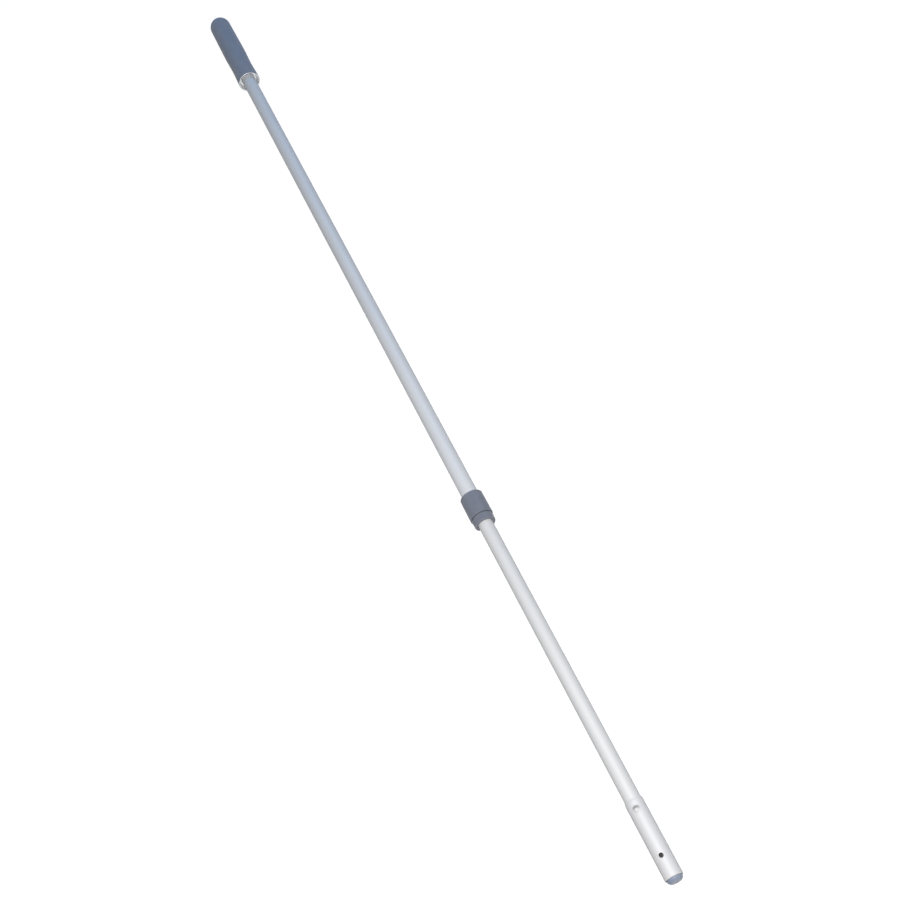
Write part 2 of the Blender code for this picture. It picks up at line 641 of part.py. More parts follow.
def make_tip_rivets(finish, parent):
    """Two blind rivets through sleeve and tube. Their domed heads stand on the sleeve."""
    seat = TIP_SLEEVE_DIAMETER / 2 * FLAT + FIT_GAP
    rim = seat + RIVET_HEAD_RIM
    head = RIVET_HEAD_DIAMETER / 2
    shank = RIVET_SHANK_DIAMETER / 2
    tail_high = INNER_BORE * FLAT - FIT_GAP
    tail_low = tail_high - RIVET_TAIL_LENGTH
    profile = []
    for step in range(RIVET_ARC_STEPS + 1):
        angle = math.pi / 2 * step / RIVET_ARC_STEPS
        height = (RIVET_HEAD_HEIGHT - RIVET_HEAD_RIM) * math.cos(angle)
        profile.append((head * math.sin(angle), rim + height))
    profile += [
        (head, seat),
        (shank, seat),
        (shank, tail_high),
        (RIVET_TAIL_DIAMETER / 2, tail_high),
        (RIVET_TAIL_DIAMETER / 2, tail_low),
        (0, tail_low),
    ]
    x = TIP_SLEEVE_END_X - RIVET_FROM_END
    for name, angle in (("tip_rivet_upper", 0.0), ("tip_rivet_lower", math.pi)):
        turned(name, profile, x, finish, parent, Matrix.Rotation(angle, 4, "X"), PIN_SIDES)


def make_tip_plug(finish, parent):
    """The end plug: a head that shows past the rolled end, and a hollow spigot behind it."""
    head = TIP_PLUG_HEAD_DIAMETER / 2
    spigot = TIP_BORE - FIT_GAP
    spigot_end = TIP_ROLL_LENGTH + FIT_GAP
    bottom = spigot_end + TIP_PLUG_SPIGOT_LENGTH
    wall = spigot - TIP_PLUG_WALL
    floor = spigot_end + TIP_PLUG_WALL
    profile = [
        (0, TIP_PLUG_HEAD_LENGTH),
        (head - TIP_PLUG_CHAMFER, TIP_PLUG_HEAD_LENGTH),
        (head, TIP_PLUG_HEAD_LENGTH - TIP_PLUG_CHAMFER),
        (head, -spigot_end),
        (spigot, -spigot_end),
        (spigot, -bottom),
        (wall, -bottom),
        (wall, -floor),
        (0, -floor),
    ]
    turned("tip_plug", profile, TIP_SLEEVE_END_X, finish, parent)


clear_scene()
parts = make_collection("window_cleaning_pole")
helpers = make_collection("cutters", hidden=True)

make_outer_tube(BLUE_ANODISED)
make_butt_plug(GREY_PLASTIC)
make_grip(GRIP_RUBBER)
make_grip_spacers(PALE_PLASTIC)
make_collar(GREY_PLASTIC)
make_guide_bush(GREY_PLASTIC)
make_wiper_ring(BLACK_RUBBER)

lock_carrier = make_empty("lock_carrier", SLEEVE_X)
make_lock_sleeve(NATURAL_NYLON, lock_carrier)
make_drag_ring(BLACK_RUBBER, lock_carrier)

cone_carrier = make_empty("cone_carrier", CONE_X, lock_carrier)
make_lock_cone(NATURAL_NYLON, cone_carrier)

inner_section = make_empty("inner_section", INNER_TUBE_X, lock_carrier)
make_lock_plug(GREY_PLASTIC, inner_section)
make_lock_stud(ZINC_STEEL, inner_section)
make_plug_pin(ZINC_STEEL, inner_section)
make_stud_washer(ZINC_STEEL, inner_section)
make_stud_nut(ZINC_STEEL, inner_section)
make_inner_tube(BRIGHT_ANODISED, inner_section)
make_tip_sleeve(SPIGOT_METAL, inner_section)
make_tip_rivets(SPIGOT_METAL, inner_section)
make_tip_plug(PLUG_PLASTIC, inner_section)

print(f"overall length {OVERALL_LENGTH:.4f} m, sliding range {EXTEND_MIN:.4f} to {EXTEND_MAX:.4f} m")
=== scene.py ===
"""Dresses the telescopic window cleaning pole and sets it in a plain studio.

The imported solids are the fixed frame. Every piece that shows is worked out again here as a finely turned
surface around its solid, and every solid that stays gets a detailed finish. Lengths are in metres. The pole
lies along X, with its grip towards -X and its tool spigot towards +X.
"""

from __future__ import annotations

import logging
import math
from dataclasses import dataclass
from enum import Enum
from typing import Iterable, Sequence

import bmesh
import bpy
import numpy as np
from mathutils import Matrix, Vector

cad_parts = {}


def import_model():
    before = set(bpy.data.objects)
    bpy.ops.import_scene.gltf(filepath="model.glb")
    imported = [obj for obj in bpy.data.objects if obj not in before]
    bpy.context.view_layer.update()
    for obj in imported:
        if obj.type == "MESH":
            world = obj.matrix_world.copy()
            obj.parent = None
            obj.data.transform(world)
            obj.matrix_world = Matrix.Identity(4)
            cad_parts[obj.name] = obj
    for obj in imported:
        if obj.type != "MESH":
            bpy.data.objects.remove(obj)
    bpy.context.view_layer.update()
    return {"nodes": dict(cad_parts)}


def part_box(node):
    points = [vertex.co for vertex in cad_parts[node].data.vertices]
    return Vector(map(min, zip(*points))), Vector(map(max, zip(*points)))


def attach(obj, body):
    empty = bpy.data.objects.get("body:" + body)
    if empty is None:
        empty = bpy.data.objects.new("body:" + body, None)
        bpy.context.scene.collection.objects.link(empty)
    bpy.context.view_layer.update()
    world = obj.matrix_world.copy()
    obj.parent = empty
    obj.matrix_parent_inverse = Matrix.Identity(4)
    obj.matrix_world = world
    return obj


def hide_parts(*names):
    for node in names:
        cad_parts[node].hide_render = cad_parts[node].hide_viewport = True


Colour = tuple[float, float, float]
Corner = tuple[float, float, float]  # station along the axis, radius, fillet
Array = np.ndarray

LOG = logging.getLogger("pole")
SOLID_SIDES = 32  # facets round a turned solid, with flats facing up and down
ROUND = 128  # facets round a finely turned piece
FIT = 0.0003  # between pieces that are pressed or bonded together
WHITE = (1.0, 1.0, 1.0, 1.0)


class Body(Enum):
    """The bodies that a piece can ride on."""

    OUTER = "outer_section"
    SLEEVE = "lock_sleeve_body"
    INNER = "inner_section"
    CONE = "lock_cone_body"


class Slot(Enum):
    """The record's material slots."""

    BLUE_ANODISED = "blue_anodised"
    BRIGHT_ANODISED = "bright_anodised"
    SPIGOT_METAL = "spigot_metal"
    GRIP_RUBBER = "grip_rubber"
    PALE_PLASTIC = "pale_plastic"
    GREY_PLASTIC = "grey_plastic"
    PLUG_PLASTIC = "plug_plastic"
    BLACK_RUBBER = "black_rubber"
    NATURAL_NYLON = "natural_nylon"
    ZINC_STEEL = "zinc_steel"


# --------------------------------------------------------------------------------------------------
# Shader maths
# --------------------------------------------------------------------------------------------------


class Value:
    """A socket that carries a number, colour or vector. Its operators add Math nodes for numbers."""

    def __init__(self, shader: Shader, socket: bpy.types.NodeSocket) -> None:
        """Wrap a socket.

        Args:
            shader: The shader whose tree the socket is in.
            socket: The output socket.
        """
        self.shader = shader
        self.socket = socket

    def _math(self, operation: str, *terms: Term) -> Value:
        """Add a Math node.

        Args:
            operation: The node's operation.
            terms: Its inputs in order.

        Returns:
            The node's result.
        """
        return self.shader.node("ShaderNodeMath", {"operation": operation}, dict(enumerate(terms)))

    def __add__(self, other: Term) -> Value:
        """Self plus other."""
        return self._math("ADD", self, other)

    def __radd__(self, other: Term) -> Value:
        """Other plus self."""
        return self._math("ADD", other, self)

    def __sub__(self, other: Term) -> Value:
        """Self less other."""
        return self._math("SUBTRACT", self, other)

    def __rsub__(self, other: Term) -> Value:
        """Other less self."""
        return self._math("SUBTRACT", other, self)

    def __mul__(self, other: Term) -> Value:
        """Self times other."""
        return self._math("MULTIPLY", self, other)

    def __rmul__(self, other: Term) -> Value:
        """Other times self."""
        return self._math("MULTIPLY", other, self)

    def __abs__(self) -> Value:
        """The size of self without its sign."""
        return self._math("ABSOLUTE", self)

    def larger(self, other: Term) -> Value:
        """The larger of self and other."""
        return self._math("MAXIMUM", self, other)

    def band(self, low: float, high: float) -> Value:
        """Self as a soft step.

        Args:
            low: The value that becomes 0.
            high: The value that becomes 1. It may be below low, which turns the step round.

        Returns:
            A number from 0 to 1.
        """
        settings = {"interpolation_type": "SMOOTHSTEP"}
        inputs = {"Value": self, "From Min": low, "From Max": high}
        return self.shader.node("ShaderNodeMapRange", settings, inputs)


Term = Value | float


class Shader:
    """The node tree of one material, built round a Principled BSDF on Object coordinates, or of a world."""

    def __init__(self, owner: bpy.types.Material | bpy.types.World) -> None:
        """Start an empty tree.

        Args:
            owner: The material or world that it shades.
        """
        self.owner = owner
        self.owner.use_nodes = True
        self.tree = self.owner.node_tree
        self.tree.nodes.clear()
        self.place = self.node("ShaderNodeTexCoord", {}, {}, "Object")

    def node(
        self,
        kind: str,
        settings: dict[str, object],
        inputs: dict[str | int, Term | Sequence[float]],
        output: str | int | None = 0,
    ) -> Value | None:
        """Add any node.

        Args:
            kind: The node's type.
            settings: Its properties, which are set first.
            inputs: The values or links of its sockets, by name or number.
            output: The socket that the result is read from, or None for a node without one.

        Returns:
            That socket, wrapped, if there is one.
        """
        made = self.tree.nodes.new(kind)
        for name, setting in settings.items():
            setattr(made, name, setting)
        for name, value in inputs.items():
            if isinstance(value, Value):
                self.tree.links.new(value.socket, made.inputs[name])
            else:
                made.inputs[name].default_value = value
        return None if output is None else Value(self, made.outputs[output])

    def across(self, scale: Sequence[float], shift: float = 0.0) -> Value:
        """Object coordinates, stretched.

        Args:
            scale: Cells per metre along X, Y and Z.
            shift: How far the pattern is moved, so that two patterns differ.

        Returns:
            The stretched coordinates.
        """
        inputs = {0: self.place, 1: tuple(scale), 2: (shift, shift, shift)}
        return self.node("ShaderNodeVectorMath", {"operation": "MULTIPLY_ADD"}, inputs)

    def noise(self, scale: Sequence[float], detail: float = 2.0, shift: float = 0.0) -> Value:
        """Fractal noise from 0 to 1.

        Args:
            scale: Cells per metre along X, Y and Z.
            detail: Octaves of finer noise.
            shift: How far the pattern is moved.

        Returns:
            The noise.
        """
        inputs = {"Vector": self.across(scale, shift), "Scale": 1.0, "Detail": detail, "Roughness": 0.55}
        return self.node("ShaderNodeTexNoise", {}, inputs, "Fac")

    def pebbles(self, scale: float, smoothness: float, shift: float = 0.0) -> Value:
        """Rounded cells, 0 in their middles and larger towards their borders.

        Args:
            scale: Cells per metre.
            smoothness: How softly cells join, from 0 to 1.
            shift: How far the pattern is moved.

        Returns:
            The distance to the nearest cell's middle.
        """
        place = self.across((scale, scale, scale), shift)
        inputs = {"Vector": place, "Scale": 1.0, "Smoothness": smoothness}
        return self.node("ShaderNodeTexVoronoi", {"feature": "SMOOTH_F1"}, inputs, "Distance")

    def station(self) -> Value:
        """The place along the pole."""
        return self.node("ShaderNodeSeparateXYZ", {}, {0: self.place}, "X")

    def beside(self) -> Value:
        """The place across the pole, level with the floor."""
        return self.node("ShaderNodeSeparateXYZ", {}, {0: self.place}, "Y")

    def above(self, level: float) -> Value:
        """The height over a level."""
        return self.node("ShaderNodeSeparateXYZ", {}, {0: self.place}, "Z") - level

    def near(self, stations: Sequence[float], reach: float) -> Value:
        """How near a point is to the nearest of some stations along the pole.

        Args:
            stations: Places along X.
            reach: How far from a station the result falls to 0.

        Returns:
            A number from 0 to 1.
        """
        x = self.station()
        found = abs(x - stations[0]).band(reach, 0.0)
        for other in stations[1:]:
            found = found.larger(abs(x - other).band(reach, 0.0))
        return found

    def tint(self, share: Term, first: Value | Colour, second: Value | Colour) -> Value:
        """A colour between two others.

        Args:
            share: How much of the second, from 0 to 1.
            first: The colour at 0.
            second: The colour at 1.

        Returns:
            The mixed colour.
        """
        sides = [(*side, 1.0) if isinstance(side, tuple) else side for side in (first, second)]
        settings = {"data_type": "RGBA"}
        return self.node("ShaderNodeMix", settings, {0: share, 6: sides[0], 7: sides[1]}, 2)

    def relief(self, height: Value, depth: float, strength: float = 1.0) -> Value:
        """A bumped normal.

        Args:
            height: The surface's relief, from 0 to 1.
            depth: What 1 stands for, in metres.
            strength: How strongly it shows.

        Returns:
            The normal.
        """
        return self.node("ShaderNodeBump", {}, {"Height": height, "Distance": depth, "Strength": strength})

    def finish(self, inputs: dict[str | int, Term | Sequence[float]]) -> bpy.types.Material:
        """Close the tree with a Principled BSDF.

        Args:
            inputs: The shader's sockets.

        Returns:
            The finished material.
        """
        self.output("ShaderNodeOutputMaterial", self.node("ShaderNodeBsdfPrincipled", {}, inputs))
        return self.owner

    def output(self, kind: str, surface: Value) -> None:
        """Link a shader to the tree's output.

        Args:
            kind: The output node's type.
            surface: The shader.
        """
        self.node(kind, {}, {"Surface": surface}, None)


# --------------------------------------------------------------------------------------------------
# Finishes
# --------------------------------------------------------------------------------------------------


RUBBED: Colour = (0.90, 0.90, 0.90)
# Painted shadow round a rivet head: a faint dark ring, much darker on the head's grip side.
RIVET_PAINTED_SHADOW: Colour = (0.17, 0.167, 0.16)
RIVET_SHADOW_START = 0.0030  # from a rivet's middle
RIVET_SHADOW_END = 0.0058
# Painted shade in a bore: below the sleeve's skin its wall is coloured near black.
SHADE: Colour = (0.10, 0.10, 0.105)
SHADE_FADE = 0.0004  # depth over which a bore turns dark
TURNING_MARK: Colour = (0.86, 0.86, 0.85)


@dataclass(frozen=True)
class Anodised:
    """Drawn aluminium tube with a satin anodised skin.

    Fine draw lines run along the pole, an etched grain covers everything, the dye is slightly cloudy, and
    faint rub marks run lengthwise.

    Attributes:
        name: The material's name.
        colour: The metal's colour.
        deep: Its colour in clouds and draw lines.
        roughness: Its mean roughness.
        metallic: How far it shines as bare metal.
        edge: The grey of what it mirrors at a flat angle.
        worn: Stations where it is rubbed bright all round.
        shift: How far its patterns are moved, so that two finishes differ.
        riveted: The station of a rivet with a painted shadow round its head, if there is one.
        bore: The height of the pole's axis and the radius below which a bore is painted near black as shade,
            if it has one.
        shine: The strength of its clear reflection.
    """

    name: str
    colour: Colour
    deep: Colour
    roughness: float
    metallic: float
    edge: float
    worn: tuple[float, ...] = ()
    shift: float = 0.0
    riveted: float | None = None
    bore: tuple[float, float] | None = None
    shine: float = 0.5

    def build(self) -> bpy.types.Material:
        """Make the material."""
        s = Shader(bpy.data.materials.new(self.name))
        cloud = s.noise((9, 55, 55), 4, self.shift)
        lines = s.noise((2.2, 1900, 1900), 3, self.shift + 4.1)
        broad = s.noise((1.1, 240, 240), 2, self.shift + 8.7)
        grain = s.noise((5200, 5200, 5200), 2, self.shift)
        rub = s.noise((7, 1300, 1300), 2, self.shift + 2.3).band(0.60, 0.72)
        rub = rub * s.noise((16, 30, 30), 2, self.shift + 5.9).band(0.46, 0.66)
        if self.worn:
            rub = rub.larger(s.near(self.worn, 0.0012) * grain.band(0.35, 0.6))
        colour = s.tint((cloud * 0.6 + broad * 0.4).band(0.25, 0.75), self.colour, self.deep)
        colour = s.tint(lines.band(0.55, 0.9) * 0.25, colour, self.deep)
        colour = s.tint(rub * 0.30, colour, RUBBED)
        # Painted shadow round the rivet: a faint dark ring, much darker on its grip side, where the head's
        # shadow falls.
        if self.riveted is not None:
            ahead, beside = s.station() - self.riveted, s.beside()
            ring = (ahead * ahead + beside * beside).band(RIVET_SHADOW_END**2, RIVET_SHADOW_START**2)
            painted_shadow = ring * (0.08 + ahead.band(0.0002, -RIVET_SHADOW_START) * 0.84)
            painted_shadow = painted_shadow * (0.7 + grain.band(0.3, 0.7) * 0.3)
            colour = s.tint(painted_shadow, colour, RIVET_PAINTED_SHADOW)
        # Painted shade: inside the bore the wall turns near black.
        if self.bore is not None:
            level, radius = self.bore
            beside, above = s.beside(), s.above(level)
            inside = (beside * beside + above * above).band(radius**2, (radius - SHADE_FADE) ** 2)
            colour = s.tint(inside * (0.85 + cloud * 0.15), colour, SHADE)
        rough = self.roughness + (cloud - 0.5) * 0.10 + (grain - 0.5) * 0.08 - rub * 0.07
        height = lines * 0.55 + broad * 0.25 + grain * 0.20
        return s.finish(
            {
                "Base Color": colour,
                "Metallic": self.metallic,
                "Roughness": rough,
                "Specular Tint": (self.edge, self.edge, self.edge, 1.0),
                "Specular IOR Level": self.shine,
                "Normal": s.relief(height, 0.00003, 0.35),
            }
        )


@dataclass(frozen=True)
class Rubber:
    """Moulded rubber with a fine pebbled grain, a little dust in its hollows and soft scuffs.

    Attributes:
        name: The material's name.
        colour: The rubber's colour.
        dust: The colour of the dust on it.
        roughness: Its mean roughness.
        pebble: Pebbles per metre.
        depth: The depth of the grain.
        worn: Stations where it is scuffed all round.
        shift: How far its patterns are moved.
    """

    name: str
    colour: Colour
    dust: Colour
    roughness: float
    pebble: float
    depth: float
    worn: tuple[float, ...] = ()
    shift: float = 0.0

    def build(self) -> bpy.types.Material:
        """Make the material."""
        s = Shader(bpy.data.materials.new(self.name))
        cells = s.pebbles(self.pebble, 0.6, self.shift)
        grain = s.noise((4200, 4200, 4200), 2, self.shift)
        cloud = s.noise((34, 60, 60), 4, self.shift + 3.0)
        scuff = s.noise((45, 160, 160), 3, self.shift + 7.0).band(0.56, 0.78)
        hollow = cells.band(0.35, 0.75)
        if self.worn:
            scuff = scuff.larger(s.near(self.worn, 0.0025) * cloud.band(0.3, 0.7))
        colour = s.tint(cloud.band(0.3, 0.7) * 0.35, self.colour, self.dust)
        colour = s.tint(hollow * 0.22, colour, self.dust)
        colour = s.tint(scuff * 0.16, colour, self.dust)
        rough = self.roughness + (cloud - 0.5) * 0.12 + hollow * 0.06 - scuff * 0.08
        height = (1 - cells) * 0.8 + grain * 0.2
        return s.finish(
            {
                "Base Color": colour,
                "Roughness": rough,
                "Sheen Weight": 0.12,
                "Sheen Roughness": 0.5,
                "Specular IOR Level": 0.25,
                "Normal": s.relief(height, self.depth, 0.6),
            }
        )


@dataclass(frozen=True)
class Plastic:
    """Injection moulded plastic with a spark-eroded grain, faint flow marks and polished, paler edges.

    Attributes:
        name: The material's name.
        colour: The plastic's colour.
        worn_colour: Its colour in flow marks and where it is rubbed.
        roughness: Its mean roughness.
        grain_size: The size of its grain.
        worn: Stations where it is rubbed all round.
        shift: How far its patterns are moved.
        glow: How much light passes under its skin.
        pearl: How far it shines like pearl, which also flattens its grain.
    """

    name: str
    colour: Colour
    worn_colour: Colour
    roughness: float
    grain_size: float
    worn: tuple[float, ...] = ()
    shift: float = 0.0
    glow: float = 0.0
    pearl: float = 0.0

    def build(self) -> bpy.types.Material:
        """Make the material."""
        s = Shader(bpy.data.materials.new(self.name))
        fine = 1.0 / self.grain_size
        grain = s.noise((fine, fine, fine), 3, self.shift)
        flow = s.noise((38, 90, 90), 4, self.shift + 2.0)
        scratch = s.noise((1500, 60, 60), 2, self.shift + 6.0).band(0.66, 0.76)
        scratch = scratch * s.noise((60, 60, 60), 2, self.shift + 9.0).band(0.5, 0.7)
        colour = s.tint(flow.band(0.3, 0.7) * 0.30, self.colour, self.worn_colour)
        colour = s.tint(grain.band(0.4, 0.7) * 0.12, colour, self.worn_colour)
        wear = scratch * 0.35
        if self.worn:
            wear = wear.larger(s.near(self.worn, 0.0011) * (0.35 + grain.band(0.3, 0.6) * 0.45))
        colour = s.tint(wear * 0.6, colour, self.worn_colour)
        rough = self.roughness + (flow - 0.5) * 0.10 + (grain - 0.5) * 0.10 - wear * 0.12
        return s.finish(
            {
                "Base Color": colour,
                "Roughness": rough,
                "Metallic": self.pearl,
                "Specular IOR Level": 0.3,
                "Subsurface Weight": self.glow,
                "Subsurface Scale": 0.002,
                "Normal": s.relief(grain * 0.7 + scratch * 0.3, 0.00003 * (1.0 - self.pearl), 0.5),
            }
        )


@dataclass(frozen=True)
class Steel:
    """Bright zinc plated steel, slightly blotched, with turning marks round the pole's axis.

    Attributes:
        name: The material's name.
        colour: The plating's colour.
        deep: Its colour in blotches.
        roughness: Its mean roughness.
        shift: How far its patterns are moved.
    """

    name: str
    colour: Colour
    deep: Colour
    roughness: float
    shift: float = 0.0

    def build(self) -> bpy.types.Material:
        """Make the material."""
        s = Shader(bpy.data.materials.new(self.name))
        blotch = s.noise((160, 160, 160), 4, self.shift)
        turned = s.noise((5200, 130, 130), 2, self.shift + 3.0)
        grain = s.noise((7000, 7000, 7000), 1, self.shift)
        colour = s.tint(blotch.band(0.3, 0.7), self.colour, self.deep)
        colour = s.tint(turned.band(0.5, 0.8) * 0.3, colour, TURNING_MARK)
        rough = self.roughness + (blotch - 0.5) * 0.16 + (grain - 0.5) * 0.06
        return s.finish(
            {
                "Base Color": colour,
                "Metallic": 1.0,
                "Roughness": rough,
                "Normal": s.relief(turned * 0.7 + grain * 0.3, 0.00003, 0.5),
            }
        )


Finish = Anodised | Rubber | Plastic | Steel


# --------------------------------------------------------------------------------------------------
# Surfaces
# --------------------------------------------------------------------------------------------------


@dataclass(frozen=True)
class Line:
    """A straight line that a piece is turned about, with two directions square to it."""

    origin: Array
    along: Array
    side: Array
    up: Array

    def place(self, station: Array, radius: Array, angle: Array) -> Array:
        """Points round the line.

        A point lies at its station along the line, and at its radius from it, in the direction that turns
        from up towards side by its angle.

        Args:
            station: Distances along the line.
            radius: Distances from it.
            angle: Angles round it, in radians.

        Returns:
            The points, with X, Y and Z last.
        """
        out = np.sin(angle)[..., None] * self.side + np.cos(angle)[..., None] * self.up
        return self.origin + station[..., None] * self.along + radius[..., None] * out


def rounded_outline(corners: Sequence[Corner], closed: bool, steps: int = 6) -> Array:
    """Round the corners of an outline.

    Each corner with a fillet becomes a circular arc, as a rational quadratic curve between its two tangent
    points whose middle weight is the cosine of half the turning angle. A guard point on each side of the arc
    keeps the straight runs beside it shaded flat.

    Args:
        corners: Stations, radii and fillets.
        closed: Whether the last corner joins the first.
        steps: Chords in each arc.

    Returns:
        Stations and radii, one row a point.
    """
    points = np.array([corner[:2] for corner in corners])
    share = np.linspace(0, 1, steps + 1)[:, None]
    runs: list[Array] = []
    for index, (_, _, fillet) in enumerate(corners):
        here = points[index]
        if fillet <= 0 or (not closed and index in (0, len(corners) - 1)):
            runs.append(here[None])
            continue
        before = points[index - 1] - here
        after = points[(index + 1) % len(points)] - here
        lengths = np.hypot(*before), np.hypot(*after)
        before, after = before / lengths[0], after / lengths[1]
        turn = math.pi - math.acos(float(np.clip(before @ after, -1, 1)))
        if turn < 0.02:
            runs.append(here[None])
            continue
        reach = min(fillet * math.tan(turn / 2), 0.4 * lengths[0], 0.4 * lengths[1])
        start, end, weight = here + before * reach, here + after * reach, math.cos(turn / 2)
        shares = (1 - share) ** 2, 2 * share * (1 - share) * weight, share**2
        arc = (shares[0] * start + shares[1] * here + shares[2] * end) / sum(shares)
        guards = (here + before * reach * 1.2)[None], (here + after * reach * 1.2)[None]
        runs.append(np.vstack([guards[0], arc, guards[1]]))
    return np.vstack(runs)


def ring_outline(
    span: tuple[float, float], radius: float, bore: float, edge: float, bore_edge: float
) -> Array:
    """The outline of a plain ring or tube: a rectangle with four rounded corners.

    Args:
        span: Its first and last station.
        radius: Its outer radius.
        bore: The radius of its bore.
        edge: The rounding of its outer edges.
        bore_edge: The rounding of its bore's edges.

    Returns:
        Stations and radii.
    """
    low, high = span
    corners = [(low, radius, edge), (high, radius, edge), (high, bore, bore_edge), (low, bore, bore_edge)]
    return rounded_outline(corners, True)


def smooth_run(start: tuple[float, float], end: tuple[float, float], count: int) -> Array:
    """An S-shaped run between two points of an outline.

    The station moves evenly from start to end, and the radius by three times the square of the share less
    twice its cube, so that the run leaves and arrives level.

    Args:
        start: Station and radius of the start, which is left out.
        end: Station and radius of the end.
        count: How many points.

    Returns:
        Stations and radii.
    """
    share = np.arange(1, count + 1) / count
    eased = share**2 * (3 - 2 * share)
    return np.stack(
        [start[0] + (end[0] - start[0]) * share, start[1] + (end[1] - start[1]) * eased],
        axis=1,
    )


def grid_faces(rows: int, columns: int, wrap_rows: bool) -> Array:
    """Quads of a grid whose columns join up round the piece.

    Args:
        rows: Rows of points.
        columns: Points in a row.
        wrap_rows: Whether the last row joins the first.

    Returns:
        One row of four point numbers for each quad.
    """
    row = np.arange(rows if wrap_rows else rows - 1)[:, None]
    column = np.arange(columns)[None, :]
    below = (row + 1) % rows
    beside = (column + 1) % columns
    corners = ((row, column), (below, column), (below, beside), (row, beside))
    quads = [at_row * columns + at_column for at_row, at_column in corners]
    return np.stack([np.broadcast_to(quad, (len(row), columns)) for quad in quads], axis=-1).reshape(-1, 4)


def turned_surface(outline: Array, line: Line, sides: int = ROUND) -> tuple[Array, Array]:
    """Carry an outline round a line.

    Each point of the outline becomes a ring of its own radius at its own station. An outline that starts and
    ends on the line closes there in two poles, and any other joins its last ring to its first.

    Args:
        outline: Stations and radii.
        line: What it is turned about.
        sides: Points in a ring.

    Returns:
        The points and the quads. At a pole, a quad has two equal corners.
    """
    angle = np.arange(sides) * 2 * math.pi / sides
    station, radius = outline[:, :1], outline[:, 1:]
    points = line.place(station + 0 * angle, radius + 0 * angle, angle + 0 * station)
    on_line = outline[0, 1] < 1e-9 and outline[-1, 1] < 1e-9
    return points.reshape(-1, 3), grid_faces(len(outline), sides, not on_line)


@dataclass(frozen=True)
class Hole:
    """A round hole straight down through a wall, with a rounded rim.

    Attributes:
        station: Its place along the pole.
        radius: Its radius below the rim.
        rim: The rounding of its rim.
        side: 1 on top of the pole, -1 underneath.
    """

    station: float
    radius: float
    rim: float
    side: int


